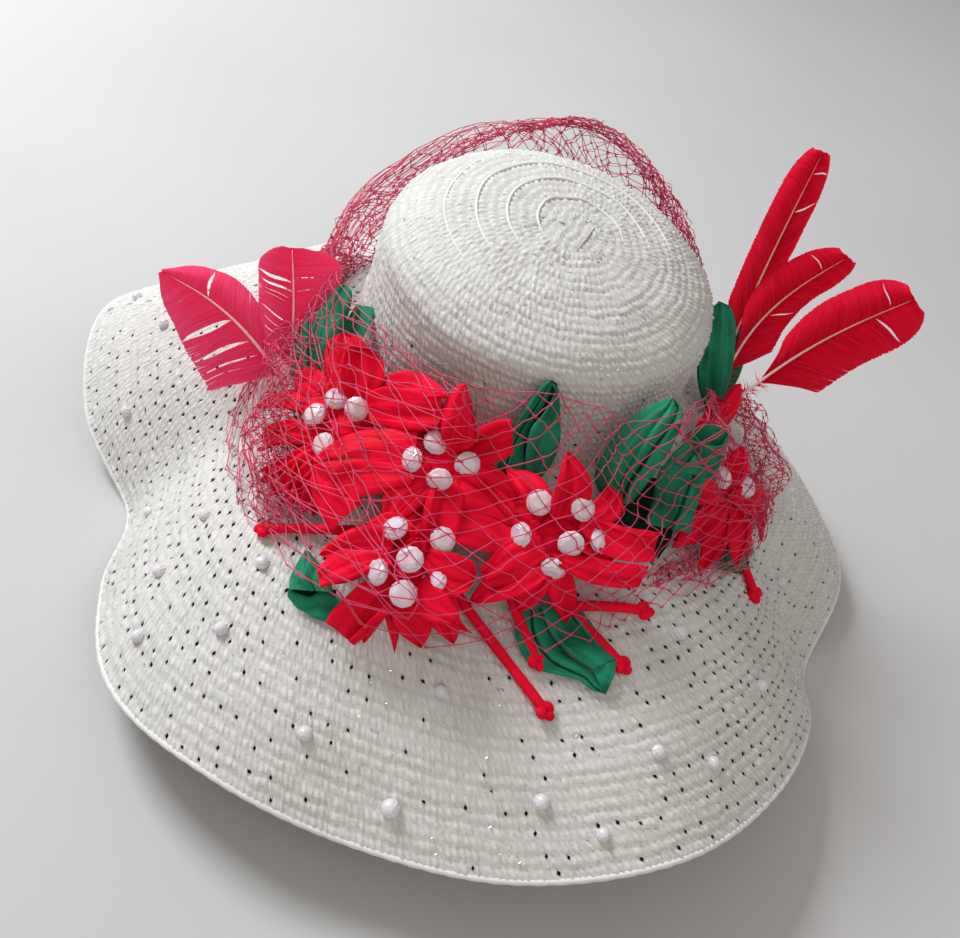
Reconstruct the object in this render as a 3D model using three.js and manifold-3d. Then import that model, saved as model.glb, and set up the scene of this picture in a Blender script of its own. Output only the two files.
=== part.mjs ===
// A wide-brimmed sun hat of sewn paper braid, trimmed at the front with satin flowers, leaves, feathers and a veil.
// Millimetres, +Z up, the front of the hat towards -Y. The foot of the crown is at z = 0 while the pieces are made,
// and the finished group is moved so that the hat stands on z = 0 with its box centred on x = 0, y = 0.
import * as THREE from 'three';
import { mergeVertices } from 'three/addons/utils/BufferGeometryUtils.js';
import Module from 'manifold-3d';

const wasm = await Module();
wasm.setup();

// Crown: a rounded cap on a nearly upright wall, its tip leaning to the front and to the right
const CROWN_RADIUS = 90;
const CAP_HEIGHT = 31.7;
const WALL_HEIGHT = 58.7;
const WALL_FLARE = 0.06;
const CAP_ROUNDNESS = 2.38;
const CAP_SHOULDER = 2.04;
const TIP_FALL_RIGHT = 0.119;
const TIP_FALL_FRONT = 0.166;
const TIP_SHIFT_RIGHT = 9;
const TIP_SHIFT_FRONT = 12;
const BRAID = 2.4;
const CROWN_SIDES = 40;

// Brim: one sheet of braid that hangs in waves. Each row is one place round the edge: how far out and how far down
// from the crown's foot the edge is there. The four lowest waves are what the hat stands on.
const BRIM_EDGE = [
  { azimuth: -180, radius: 256, drop: 74 },
  { azimuth: -165, radius: 242, drop: 96 },
  { azimuth: -150, radius: 215, drop: 118.5 },
  { azimuth: -135, radius: 240, drop: 105 },
  { azimuth: -120, radius: 267, drop: 88 },
  { azimuth: -105, radius: 271, drop: 79 },
  { azimuth: -90, radius: 269, drop: 84 },
  { azimuth: -75, radius: 274, drop: 79 },
  { azimuth: -60, radius: 277, drop: 62 },
  { azimuth: -45, radius: 264, drop: 72 },
  { azimuth: -30, radius: 249, drop: 91 },
  { azimuth: -15, radius: 235, drop: 118.5 },
  { azimuth: 0, radius: 243, drop: 99 },
  { azimuth: 15, radius: 242, drop: 103 },
  { azimuth: 30, radius: 239, drop: 108 },
  { azimuth: 45, radius: 230, drop: 118.5 },
  { azimuth: 60, radius: 232, drop: 116 },
  { azimuth: 75, radius: 236, drop: 111 },
  { azimuth: 90, radius: 237, drop: 110 },
  { azimuth: 105, radius: 230, drop: 118.5 },
  { azimuth: 120, radius: 242, drop: 104 },
  { azimuth: 135, radius: 243, drop: 100 },
  { azimuth: 150, radius: 243, drop: 99 },
  { azimuth: 165, radius: 250, drop: 88 },
];
const BRIM_BULGE = 9;
const BRIM_SIDES = 60;
const BRIM_STEPS = 5;

// Small beads glued singly to the brim: azimuth, share of the way out from the crown, radius
const BRIM_BEADS = [
  { azimuth: 178, out: 0.86, radius: 3.4 },
  { azimuth: -174, out: 0.68, radius: 3.4 },
  { azimuth: -162, out: 0.84, radius: 3.2 },
  { azimuth: -144, out: 0.85, radius: 3.4 },
  { azimuth: -131, out: 0.6, radius: 3.4 },
  { azimuth: -128, out: 0.77, radius: 3.6 },
  { azimuth: -122, out: 0.88, radius: 3.4 },
  { azimuth: -116, out: 0.54, radius: 3.6 },
  { azimuth: -114, out: 0.72, radius: 3.4 },
  { azimuth: -99, out: 0.82, radius: 3.6 },
  { azimuth: -86, out: 0.62, radius: 3.2 },
  { azimuth: -88, out: 0.9, radius: 4.4 },
  { azimuth: -73, out: 0.83, radius: 3.8 },
  { azimuth: -67, out: 0.91, radius: 3.2 },
  { azimuth: -60, out: 0.76, radius: 3.6 },
  { azimuth: -53, out: 0.83, radius: 3.2 },
  { azimuth: -39, out: 0.75, radius: 3.4 },
  { azimuth: -51, out: 0.51, radius: 3.6 },
  { azimuth: -12, out: 0.68, radius: 3.2 },
  { azimuth: 76, out: 0.84, radius: 3.4 },
  { azimuth: 134, out: 0.82, radius: 3.4 },
];

// Flowers: centre of the bead cluster, the way the flower faces, how far its petals reach
const FLOWERS = [
  { name: 'flower_left', at: [-74, -115, 8], facing: [-0.35, -0.5, 0.79], reach: 46, petals: 5, turn: 30 },
  { name: 'flower_middle', at: [-19, -134, 18], facing: [-0.05, -0.55, 0.83], reach: 48, petals: 5, turn: 54 },
  { name: 'flower_low', at: [-17, -180, -4], facing: [-0.02, -0.6, 0.8], reach: 46, petals: 6, turn: 10 },
  { name: 'flower_centre', at: [46, -145, 11], facing: [0.05, -0.5, 0.86], reach: 48, petals: 6, turn: 35 },
  { name: 'flower_right', at: [122, -72, -3], facing: [0.5, -0.35, 0.79], reach: 44, petals: 5, turn: 5 },
];
const PETAL_WIDTH = 27;
const PETAL_THICKNESS = 4;
const PETAL_LIFT = 9;
const FLOWER_HEART = 15;
const FLOWER_DEPTH = 20;

// Round beads of the flower hearts: bead centres
const BEAD_RADIUS = 6.2;
const BEADS = [
  { flower: 'flower_left', at: [-84, -117, 13] },
  { flower: 'flower_left', at: [-77, -106, 17] },
  { flower: 'flower_left', at: [-65, -113, 21] },
  { flower: 'flower_left', at: [-74, -131, 9] },
  { flower: 'flower_left', at: [-60, -135, 9] },
  { flower: 'flower_middle', at: [-31, -138, 25] },
  { flower: 'flower_middle', at: [-23, -126, 29] },
  { flower: 'flower_middle', at: [-6, -132, 27] },
  { flower: 'flower_middle', at: [-16, -143, 23] },
  { flower: 'flower_low', at: [-28, -166, 8] },
  { flower: 'flower_low', at: [-6, -163, 7] },
  { flower: 'flower_low', at: [-17, -179, 6] },
  { flower: 'flower_low', at: [-29, -185, -2] },
  { flower: 'flower_low', at: [-15, -193, -1] },
  { flower: 'flower_low', at: [-4, -180, -3] },
  { flower: 'flower_centre', at: [31, -137, 23] },
  { flower: 'flower_centre', at: [51, -134, 25] },
  { flower: 'flower_centre', at: [27, -151, 13] },
  { flower: 'flower_centre', at: [50, -151, 18] },
  { flower: 'flower_centre', at: [43, -161, 6] },
  { flower: 'flower_centre', at: [63, -142, 16] },
  { flower: 'flower_right', at: [123, -61, 7] },
  { flower: 'flower_right', at: [140, -51, -3] },
];

// Leaves and the bow by the right feathers: foot, tip, width, thickness and the way the face looks
const LEAVES = [
  { name: 'leaf_left_back', foot: [-97, -86, -2], tip: [-98, -44, 40], width: 30, facing: [-0.5, -0.7, 0.5] },
  { name: 'leaf_crown_front', foot: [19, -118, 8], tip: [19, -98, 62], width: 28, facing: [0.1, -0.9, 0.35] },
  { name: 'leaf_right_upper', foot: [67, -112, 10], tip: [79, -78, 57], width: 44, facing: [0.2, -0.75, 0.6] },
  { name: 'leaf_right_lower', foot: [91, -115, -14], tip: [111, -67, 42], width: 38, facing: [0.3, -0.65, 0.68] },
  { name: 'leaf_right_back', foot: [119, 9, -14], tip: [100, 34, 50], width: 26, facing: [0.35, -0.8, 0.45] },
  { name: 'leaf_bottom', foot: [46, -163, -14], tip: [84, -191, -25], width: 38, facing: [0, -0.4, 0.92] },
  { name: 'leaf_lower_left', foot: [-36, -176, -20], tip: [-69, -190, -28], width: 30, facing: [-0.1, -0.4, 0.9] },
  { name: 'leaf_lower_right', foot: [131, -76, -16], tip: [149, -90, -28], width: 18, facing: [0.6, 0, 0.8] },
  { name: 'bow_right', foot: [106, -22, -14], tip: [126, 4, 24], width: 20, facing: [0.6, -0.7, 0.4], red: true },
];
const LEAF_THICKNESS = 6;

// Feathers: quill foot and tip, width of the vane, how far the middle bows out along the face and sways to its side,
// the way the face looks
const FEATHERS = [
  {
    name: 'feather_left_low', foot: [-119, -61, -22], tip: [-197, -43, 8], width: 46, bow: 7, sway: 0,
    facing: [-0.15, -0.68, 0.72],
  },
  {
    name: 'feather_left_tall', foot: [-114, -62, -21], tip: [-130, -30, 41], width: 46, bow: 5, sway: 6,
    facing: [-0.3, -0.78, 0.55],
  },
  {
    name: 'feather_right_tall', foot: [116, 16, -13], tip: [125, 84, 130], width: 23, bow: 6, sway: -5,
    facing: [0.2, -0.8, 0.5],
  },
  {
    name: 'feather_right_mid', foot: [119, 9, -14], tip: [161, 63, 86], width: 28, bow: 6, sway: -17,
    facing: [0.1, -0.8, 0.5],
  },
  {
    name: 'feather_right_low', foot: [117, 1, -14], tip: [201, 48, 82], width: 40, bow: 6, sway: -6,
    facing: [0, -0.82, 0.5],
  },
];
const VANE_START = 0.16;
const VANE_THICKNESS = 1.8;
const QUILL_WIDTH = 2.6;

// Stamens: satin cords that come out under the flowers and lie on the brim, each with a knot at its end.
// The heights are measured up from the brim to the middle of the cord.
const STAMENS = [
  { name: 'stamen_low_left', from: [4, -166], to: [63, -203], rise: [6, 3.2] },
  { name: 'stamen_low_middle', from: [27, -158], to: [53, -185], rise: [10, 4.5] },
  { name: 'stamen_low_right', from: [46, -153], to: [92, -176], rise: [8, 3.4] },
  { name: 'stamen_turned_up', from: [58, -160], to: [96, -150], rise: [7, 8] },
  { name: 'stamen_left', from: [-38, -156], to: [-91, -158], rise: [11, 3.4] },
  { name: 'stamen_right', from: [138, -60], to: [163, -88], rise: [12, 3.4] },
];
const CORD_RADIUS = 2.5;
const KNOT_RADIUS = 3.6;

// Veil: two bands of wide-mesh net. Each row is one place round the hat: the lower edge's and the upper edge's distance
// from the crown's axis, the upper edge's height above the crown's foot, and how far the net is lifted by what lies
// under it, low, midway and high between the edges. The lower edge follows the brim.
const VEIL_FRONT = [
  { azimuth: -169, low: 128, high: 103, highZ: 24, lowLift: 4, midLift: 5, highLift: 3 },
  { azimuth: -148.9, low: 160, high: 112, highZ: 48, lowLift: 8, midLift: 10, highLift: 6 },
  { azimuth: -128.8, low: 180, high: 106, highZ: 52, lowLift: 11, midLift: 14, highLift: 8 },
  { azimuth: -108.6, low: 190, high: 108, highZ: 48, lowLift: 22, midLift: 20, highLift: 12 },
  { azimuth: -88.5, low: 190, high: 112, highZ: 62, lowLift: 29, midLift: 21, highLift: 10 },
  { azimuth: -68.4, low: 182, high: 112, highZ: 56, lowLift: 20, midLift: 18, highLift: 11 },
  { azimuth: -48.3, low: 170, high: 112, highZ: 50, lowLift: 14, midLift: 15, highLift: 14 },
  { azimuth: -28.1, low: 162, high: 108, highZ: 40, lowLift: 23, midLift: 21, highLift: 18 },
  { azimuth: -8, low: 140, high: 104, highZ: 24, lowLift: 18, midLift: 14, highLift: 8 },
];
const VEIL_BACK = [
  { azimuth: 187, low: 112, high: 113, highZ: 18, lowLift: 2, midLift: 3, highLift: 2 },
  { azimuth: 156.6, low: 112, high: 121, highZ: 40, lowLift: 4, midLift: 6, highLift: 4 },
  { azimuth: 126.2, low: 112, high: 118, highZ: 72, lowLift: 4, midLift: 6, highLift: 4 },
  { azimuth: 95.8, low: 112, high: 113, highZ: 88, lowLift: 4, midLift: 6, highLift: 4 },
  { azimuth: 65.4, low: 112, high: 115, highZ: 74, lowLift: 4, midLift: 6, highLift: 4 },
  { azimuth: 35, low: 112, high: 110, highZ: 42, lowLift: 2, midLift: 3, highLift: 2 },
];
const STRAND_WIDTH = 2;
const STRAND_THICKNESS = 1.4;
const VEIL_SEAT = 1.1;

// Clearance that touching pieces keep, and how much a petal, leaf or feather is grown to leave it on all sides
const GAP = 0.35;
const BLADE_ROOM = 0.5;
const FACET_TOLERANCE = 0.08;

const up = new THREE.Vector3(0, 0, 1);
const vec = (list) => new THREE.Vector3(...list);
const radians = THREE.MathUtils.degToRad;

// Rings of points joined into one closed skin. With a loop the last ring meets the first; without one the two end
// rings are closed by a point in their middle.
function skin(rings, loop = false) {
  const sides = rings[0].length;
  const points = rings.flat();
  const faces = [];
  const joins = loop ? rings.length : rings.length - 1;
  for (let i = 0; i < joins; i++) {
    const here = i * sides;
    const next = ((i + 1) % rings.length) * sides;
    for (let j = 0; j < sides; j++) {
      const k = (j + 1) % sides;
      faces.push(here + j, here + k, next + j, here + k, next + k, next + j);
    }
  }
  if (!loop) {
    const ends = [[0, false], [(rings.length - 1) * sides, true]];
    for (const [start, flip] of ends) {
      const middle = new THREE.Vector3();
      for (let j = 0; j < sides; j++) middle.add(points[start + j]);
      points.push(middle.divideScalar(sides));
      const hub = points.length - 1;
      for (let j = 0; j < sides; j++) {
        const a = start + j;
        const b = start + ((j + 1) % sides);
        if (flip) faces.push(hub, a, b);
        else faces.push(hub, b, a);
      }
    }
  }
  const geometry = new THREE.BufferGeometry();
  geometry.setAttribute('position', new THREE.Float32BufferAttribute(points.flatMap((p) => p.toArray()), 3));
  geometry.setIndex(faces);
  return outward(geometry);
}

// Faces turned to point out, told by the sign of the enclosed volume
function outward(geometry) {
  const position = geometry.getAttribute('position');
  const index = geometry.getIndex().array;
  const corners = [new THREE.Vector3(), new THREE.Vector3(), new THREE.Vector3()];
  let volume = 0;
  for (let i = 0; i < index.length; i += 3) {
    corners.forEach((corner, j) => corner.fromBufferAttribute(position, index[i + j]));
    volume += corners[0].dot(corners[1].cross(corners[2]));
  }
  if (volume < 0) {
    for (let i = 0; i < index.length; i += 3) [index[i], index[i + 1]] = [index[i + 1], index[i]];
  }
  return geometry;
}

function toSolid(source) {
  const bare = source.clone();
  bare.deleteAttribute('normal');
  bare.deleteAttribute('uv');
  const geometry = mergeVertices(bare, 1e-3);
  const vertProperties = new Float32Array(geometry.getAttribute('position').array);
  const triVerts = new Uint32Array(geometry.getIndex().array);
  return new wasm.Manifold(new wasm.Mesh({ numProp: 3, vertProperties, triVerts }));
}

// The largest connected body of a solid, so that slivers left by a cut are dropped
function toGeometry(solid) {
  const { vertProperties, triVerts } = solid.simplify(FACET_TOLERANCE).getMesh();
  const owner = Array.from({ length: vertProperties.length / 3 }, (_, i) => i);
  const root = (i) => {
    while (owner[i] !== i) i = owner[i] = owner[owner[i]];
    return i;
  };
  for (let i = 0; i < triVerts.length; i += 3) {
    owner[root(triVerts[i])] = root(triVerts[i + 1]);
    owner[root(triVerts[i + 1])] = root(triVerts[i + 2]);
  }
  const counts = new Map();
  for (const i of triVerts) counts.set(root(i), (counts.get(root(i)) ?? 0) + 1);
  const largest = [...counts].sort((a, b) => b[1] - a[1])[0][0];
  const kept = [];
  for (let i = 0; i < triVerts.length; i += 3) {
    if (root(triVerts[i]) === largest) kept.push(triVerts[i], triVerts[i + 1], triVerts[i + 2]);
  }
  const geometry = new THREE.BufferGeometry();
  geometry.setAttribute('position', new THREE.BufferAttribute(new Float32Array(vertProperties), 3));
  geometry.setIndex(kept);
  return geometry.toNonIndexed();
}

// Smooth value round the whole hat between the rows of a table that is sorted by azimuth
function aroundTable(rows, column, azimuth) {
  const step = 360 / rows.length;
  const place = (THREE.MathUtils.euclideanModulo(azimuth - rows[0].azimuth, 360)) / step;
  const i = Math.floor(place) % rows.length;
  const t = place - Math.floor(place);
  const [a, b, c, d] = [-1, 0, 1, 2].map((k) => rows[(i + k + rows.length) % rows.length][column]);
  return b + 0.5 * t * (c - a + t * (2 * a - 5 * b + 4 * c - d + t * (3 * (b - c) + d - a)));
}

// Value between two rows of an open table, with an even ease from row to row
function alongTable(rows, column, share) {
  const place = THREE.MathUtils.clamp(share, 0, 1) * (rows.length - 1);
  const i = Math.min(Math.floor(place), rows.length - 2);
  return THREE.MathUtils.lerp(rows[i][column], rows[i + 1][column], THREE.MathUtils.smoothstep(place - i, 0, 1));
}

const footRadius = CROWN_RADIUS + WALL_FLARE * WALL_HEIGHT;

// Meridian of the crown before it leans: [radius, height] from the tip (0) to the foot (1), drawn in by inset
function crownMeridian(share, inset) {
  const capShare = 0.64;
  if (share < capShare) {
    const angle = (share / capShare) * (Math.PI / 2);
    const radius = (CROWN_RADIUS - inset) * Math.sin(angle) ** (2 / CAP_ROUNDNESS);
    const height = (CAP_HEIGHT - inset) * Math.cos(angle) ** (2 / CAP_SHOULDER);
    return [radius, WALL_HEIGHT + height];
  }
  const fall = (share - capShare) / (1 - capShare);
  return [CROWN_RADIUS + WALL_FLARE * WALL_HEIGHT * fall - inset, WALL_HEIGHT * (1 - fall)];
}

// Point of the leaning crown
function crownPoint(share, azimuth, inset) {
  const [radius, height] = crownMeridian(share, inset);
  const lean = 1 - share;
  const x = radius * Math.cos(azimuth);
  const y = radius * Math.sin(azimuth);
  const z = height - TIP_FALL_RIGHT * lean * x + TIP_FALL_FRONT * lean * y;
  return new THREE.Vector3(x + TIP_SHIFT_RIGHT * lean, y - TIP_SHIFT_FRONT * lean, z);
}

function crownRing(share, inset) {
  return Array.from({ length: CROWN_SIDES }, (_, i) => crownPoint(share, (i / CROWN_SIDES) * 2 * Math.PI, inset));
}

// Flat disc at the middle of the tip: the ring's own plane, so that its inside is a true flat face
const TIP_SHARE = 0.09;

function crownSolid(grow = 0) {
  const shares = [TIP_SHARE, 0.22, 0.35, 0.47, 0.56, 0.64, 1];
  const outside = shares.map((share) => crownRing(share, -grow));
  if (grow > 0) outside[outside.length - 1].forEach((point) => { point.z -= grow; });
  if (grow > 0) return toSolid(skin(outside));
  const inside = shares.filter((_, i) => i % 2 === 0).reverse().map((share) => crownRing(share, BRAID));
  return toSolid(skin([...outside, ...inside]));
}

// Point of the brim's upper face, out = 0 at the crown and 1 at the edge, raised by rise along the face
function brimPoint(out, azimuth, rise = 0) {
  const degrees = THREE.MathUtils.radToDeg(azimuth);
  const reach = aroundTable(BRIM_EDGE, 'radius', degrees) - footRadius;
  const drop = aroundTable(BRIM_EDGE, 'drop', degrees);
  const length = Math.hypot(reach, drop);
  const bulge = BRIM_BULGE * 4 * out * (1 - out);
  const slope = (BRIM_BULGE * 4 * (1 - 2 * out)) / length;
  const tilt = Math.atan2(drop, reach) - Math.atan(slope);
  const radius = footRadius + reach * out + (drop / length) * bulge + Math.sin(tilt) * rise;
  const height = -drop * out + (reach / length) * bulge + Math.cos(tilt) * rise;
  return new THREE.Vector3(radius * Math.cos(azimuth), radius * Math.sin(azimuth), height);
}

function brimRing(out, rise) {
  return Array.from({ length: BRIM_SIDES }, (_, i) => brimPoint(out, (i / BRIM_SIDES) * 2 * Math.PI, rise));
}

// Flat seat for the crown's foot, just inside the brim's first ring
function seatRing(radius, height) {
  return Array.from({ length: BRIM_SIDES }, (_, i) => {
    const azimuth = (i / BRIM_SIDES) * 2 * Math.PI;
    return new THREE.Vector3(radius * Math.cos(azimuth), radius * Math.sin(azimuth), height);
  });
}

function brimSolid(grow = 0) {
  const outs = Array.from({ length: BRIM_STEPS }, (_, i) => (i + 1) / BRIM_STEPS);
  const seatRadius = footRadius - BRAID;
  const top = [seatRing(seatRadius, grow - GAP), seatRing(footRadius + grow, grow - GAP)];
  top.push(...outs.map((out) => brimRing(out, grow)));
  const under = outs.slice(0, -1).filter((_, i) => i % 2 === 1).reverse().map((out) => brimRing(out, -BRAID));
  const bottom = [brimRing(1, -BRAID), ...under, seatRing(footRadius, -BRAID - GAP)];
  return toSolid(skin([...top, ...bottom, seatRing(seatRadius, -BRAID - GAP)], true));
}

// Height of the brim's upper face over a point, found by walking out along its azimuth
function brimHeight(x, y) {
  const azimuth = Math.atan2(y, x);
  const radius = Math.hypot(x, y);
  let [low, high] = [0, 1];
  for (let i = 0; i < 30; i++) {
    const middle = (low + high) / 2;
    const point = brimPoint(middle, azimuth);
    if (Math.hypot(point.x, point.y) < radius) low = middle;
    else high = middle;
  }
  return brimPoint(low, azimuth).z;
}

function ball(radius, centre, sides = 10, rings = 4) {
  return toSolid(new THREE.SphereGeometry(radius, sides, rings).translate(...centre.toArray()));
}

function brimBeads() {
  const sunk = 0.35;
  return BRIM_BEADS.map(({ azimuth, out, radius }) => {
    return ball(radius, brimPoint(out, radians(azimuth), radius * (1 - sunk)), 8, 3);
  });
}

// Closed blade along a bowed spine: a petal, a leaf or a vane. The profile gives its half width at each share of the
// length, fold lowers its middle line and so gives it a crease.
function blade({
  foot, tip, facing, width, thickness, bow = 0, sway = 0, fold = 0, profile, steps = 5, grow = 0, plain = false,
}) {
  const along = tip.clone().sub(foot);
  const length = along.length();
  along.normalize();
  const face = facing.clone().addScaledVector(along, -facing.dot(along)).normalize();
  const side = along.clone().cross(face).normalize();
  const rings = [];
  for (let i = 0; i <= steps; i++) {
    const share = (i + 0.02) / (steps + 0.04);
    const half = (width / 2) * profile(share) + grow;
    const thick = (thickness / 2) * Math.min(1, 0.35 + profile(share)) + grow;
    const crease = fold * profile(share);
    const beyond = grow * ((i === steps) - (i === 0));
    const middle = foot.clone().addScaledVector(along, length * share + beyond);
    middle.addScaledVector(face, bow * Math.sin(Math.PI * share));
    middle.addScaledVector(side, sway * Math.sin(Math.PI * share));
    const corner = (across, through, extra = 0) => middle.clone()
      .addScaledVector(side, across * half)
      .addScaledVector(face, through * thick + extra + crease * (Math.abs(across) - 0.5));
    const edge = (across) => [corner(across, 0, -across * grow), corner(across, 0, across * grow)];
    const [left, right] = [-1, 1].map((across) => edge(across).slice(grow > 0 ? 0 : 1));
    const top = plain ? [corner(0, 1)] : [corner(0.5, 1), corner(0, 1), corner(-0.5, 1)];
    const ring = [...left, corner(0, -1), ...right, ...top];
    rings.push(ring);
  }
  return toSolid(skin(rings));
}

const pointed = (share) => Math.sin(Math.PI * Math.min(1, share * 0.78 + 0.2)) ** 0.8;
const vaneShape = (share) => Math.min(1, 0.12 + 1.5 * share) * Math.sqrt(Math.max(0.02, 1 - share ** 4));

// A flower: two tiers of pointed petals round a heart that goes down to the hat
function flowerSolid(flower, grow = 0) {
  const centre = vec(flower.at);
  const facing = vec(flower.facing).normalize();
  const right = new THREE.Vector3(1, 0, 0).addScaledVector(facing, -facing.x).normalize();
  const forward = facing.clone().cross(right);
  const heart = new THREE.SphereGeometry(1, 8, 5);
  heart.scale(FLOWER_HEART + grow, FLOWER_HEART + grow, FLOWER_DEPTH + grow);
  heart.applyQuaternion(new THREE.Quaternion().setFromUnitVectors(up, facing));
  heart.translate(...centre.clone().addScaledVector(facing, -FLOWER_DEPTH * 0.7).toArray());
  let solid = toSolid(heart);
  for (let i = 0; i < flower.petals; i++) {
    const angle = radians(flower.turn + (360 / flower.petals) * i);
    const out = right.clone().multiplyScalar(Math.cos(angle)).addScaledVector(forward, Math.sin(angle));
    const upper = i % 2 === 0;
    const reach = flower.reach * (upper ? 0.88 : 1);
    const foot = centre.clone().addScaledVector(out, 6).addScaledVector(facing, upper ? -3 : -9);
    const tip = foot.clone().addScaledVector(out, reach - 6).addScaledVector(facing, upper ? 3 : -2);
    solid = solid.add(blade({
      foot, tip, facing, width: PETAL_WIDTH, thickness: PETAL_THICKNESS, bow: PETAL_LIFT * (upper ? 0.8 : 0.4),
      fold: 3, profile: pointed, steps: 3, grow, plain: true,
    }));
  }
  return solid;
}

// Half-space beyond the plane midway between two flowers, as a large block
function beyondMidway(centre, neighbour, grow = 0) {
  const size = 400;
  const away = neighbour.clone().sub(centre).normalize();
  const block = new THREE.BoxGeometry(size, size, size);
  block.applyQuaternion(new THREE.Quaternion().setFromUnitVectors(up, away));
  const midway = centre.clone().add(neighbour).multiplyScalar(0.5);
  block.translate(...midway.addScaledVector(away, size / 2 - GAP / 2 + grow).toArray());
  return toSolid(block);
}

function leafSolid(leaf, grow = 0) {
  return blade({
    foot: vec(leaf.foot), tip: vec(leaf.tip), facing: vec(leaf.facing), width: leaf.width,
    thickness: LEAF_THICKNESS, bow: 4, fold: 5, profile: pointed, steps: 4, grow,
  });
}

// Feather: a thin vane with a stouter quill fused along its middle and bare at the foot. What is left of the bow and
// the sway beyond the bare foot is about three quarters.
function featherSolid({ foot: footAt, tip: tipAt, facing: look, width, bow, sway }, grow = 0) {
  const [foot, tip, facing] = [footAt, tipAt, look].map(vec);
  const along = tip.clone().sub(foot).normalize();
  const face = facing.clone().addScaledVector(along, -facing.dot(along)).normalize();
  const side = along.clone().cross(face);
  const spine = (share) => foot.clone().lerp(tip, share)
    .addScaledVector(face, bow * Math.sin(Math.PI * share))
    .addScaledVector(side, sway * Math.sin(Math.PI * share));
  const vane = blade({
    foot: spine(VANE_START), tip, facing, width, thickness: VANE_THICKNESS, bow: bow * 0.75, sway: sway * 0.75,
    fold: 4, profile: vaneShape, steps: 6, grow, plain: true,
  });
  const quill = blade({
    foot, tip: spine(0.5), facing, width: QUILL_WIDTH, thickness: QUILL_WIDTH, profile: () => 1, steps: 1,
    grow, plain: true,
  });
  return vane.add(quill);
}

// Stamen: a round cord on a gently bent route over the brim, with a knot
function stamenRoute({ from, to, rise }) {
  const points = [0, 0.35, 0.7, 1].map((share) => {
    const x = THREE.MathUtils.lerp(from[0], to[0], share);
    const y = THREE.MathUtils.lerp(from[1], to[1], share);
    const height = THREE.MathUtils.lerp(rise[0], rise[1], Math.sqrt(share));
    return new THREE.Vector3(x, y, brimHeight(x, y) + height);
  });
  return new THREE.CatmullRomCurve3(points);
}

function stamenSolid(stamen, grow = 0) {
  const route = stamenRoute(stamen);
  const section = new THREE.Shape();
  section.absarc(0, 0, CORD_RADIUS + grow, 0, 2 * Math.PI);
  const tube = new THREE.ExtrudeGeometry(section, { steps: 5, curveSegments: 4, extrudePath: route });
  return toSolid(tube).add(ball(KNOT_RADIUS + grow, route.getPoint(1), 8));
}

// Veil: a curved sheet with a diamond hole in each cell of its grid
function veilPoint(rows, u, v, rise) {
  const azimuth = radians(THREE.MathUtils.lerp(rows[0].azimuth, rows.at(-1).azimuth, u));
  const low = alongTable(rows, 'low', u);
  const high = alongTable(rows, 'high', u);
  const lowZ = brimHeight(low * Math.cos(azimuth), low * Math.sin(azimuth)) + VEIL_SEAT;
  const highZ = alongTable(rows, 'highZ', u);
  const across = Math.atan2(highZ - lowZ, low - high);
  const lifts = [0, ...['lowLift', 'midLift', 'highLift'].map((column) => alongTable(rows, column, u)), 0];
  const place = THREE.MathUtils.clamp(v, 0, 1) * 4;
  const i = Math.min(Math.floor(place), 3);
  const swell = THREE.MathUtils.lerp(lifts[i], lifts[i + 1], place - i);
  const radius = THREE.MathUtils.lerp(low, high, v) + Math.sin(across) * (swell + rise);
  const height = THREE.MathUtils.lerp(lowZ, highZ, v) + Math.cos(across) * (swell + rise);
  return new THREE.Vector3(radius * Math.cos(azimuth), radius * Math.sin(azimuth), height);
}

function veilSolid(rows, across, along) {
  const points = [];
  const faces = [];
  const add = (u, v) => {
    for (const rise of [STRAND_THICKNESS / 2, -STRAND_THICKNESS / 2]) points.push(veilPoint(rows, u, v, rise));
    return points.length - 2;
  };
  const corner = Array.from({ length: along + 1 }, (_, i) => {
    return Array.from({ length: across + 1 }, (_, j) => add(i / along, j / across));
  });
  const quad = (a, b, c, d) => faces.push(a, b, c, a, c, d);
  const holeShare = 1 - STRAND_WIDTH / 15;
  for (let i = 0; i < along; i++) {
    for (let j = 0; j < across; j++) {
      const outer = [corner[i][j], corner[i + 1][j], corner[i + 1][j + 1], corner[i][j + 1]];
      const inner = [[-1, -1], [1, -1], [1, 1], [-1, 1]].map(([du, dv]) => {
        return add((i + 0.5 + 0.5 * du * holeShare) / along, (j + 0.5 + 0.5 * dv * holeShare) / across);
      });
      for (let k = 0; k < 4; k++) {
        const n = (k + 1) % 4;
        quad(outer[k], outer[n], inner[n], inner[k]);
        quad(outer[n] + 1, outer[k] + 1, inner[k] + 1, inner[n] + 1);
        quad(inner[k], inner[n], inner[n] + 1, inner[k] + 1);
      }
    }
  }
  const rim = [
    ...Array.from({ length: along }, (_, i) => [corner[i][0], corner[i + 1][0]]),
    ...Array.from({ length: across }, (_, j) => [corner[along][j], corner[along][j + 1]]),
    ...Array.from({ length: along }, (_, i) => [corner[i + 1][across], corner[i][across]]),
    ...Array.from({ length: across }, (_, j) => [corner[0][j + 1], corner[0][j]]),
  ];
  for (const [a, b] of rim) quad(b, a, a + 1, b + 1);
  const geometry = new THREE.BufferGeometry();
  geometry.setAttribute('position', new THREE.Float32BufferAttribute(points.flatMap((p) => p.toArray()), 3));
  geometry.setIndex(faces);
  return toSolid(outward(geometry));
}

const straw = { color: 0xf1eee8, roughness: 0.75, metalness: 0 };
const satinRed = { color: 0xd0112b, roughness: 0.45, metalness: 0 };
const satinGreen = { color: 0x157a55, roughness: 0.45, metalness: 0 };
const plumeRed = { color: 0xe8203f, roughness: 0.8, metalness: 0 };
const netPink = { color: 0xd5225f, roughness: 0.6, metalness: 0 };
const pearl = { color: 0xe9dde2, roughness: 0.2, metalness: 0.1 };

const hat = new THREE.Group();

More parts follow.
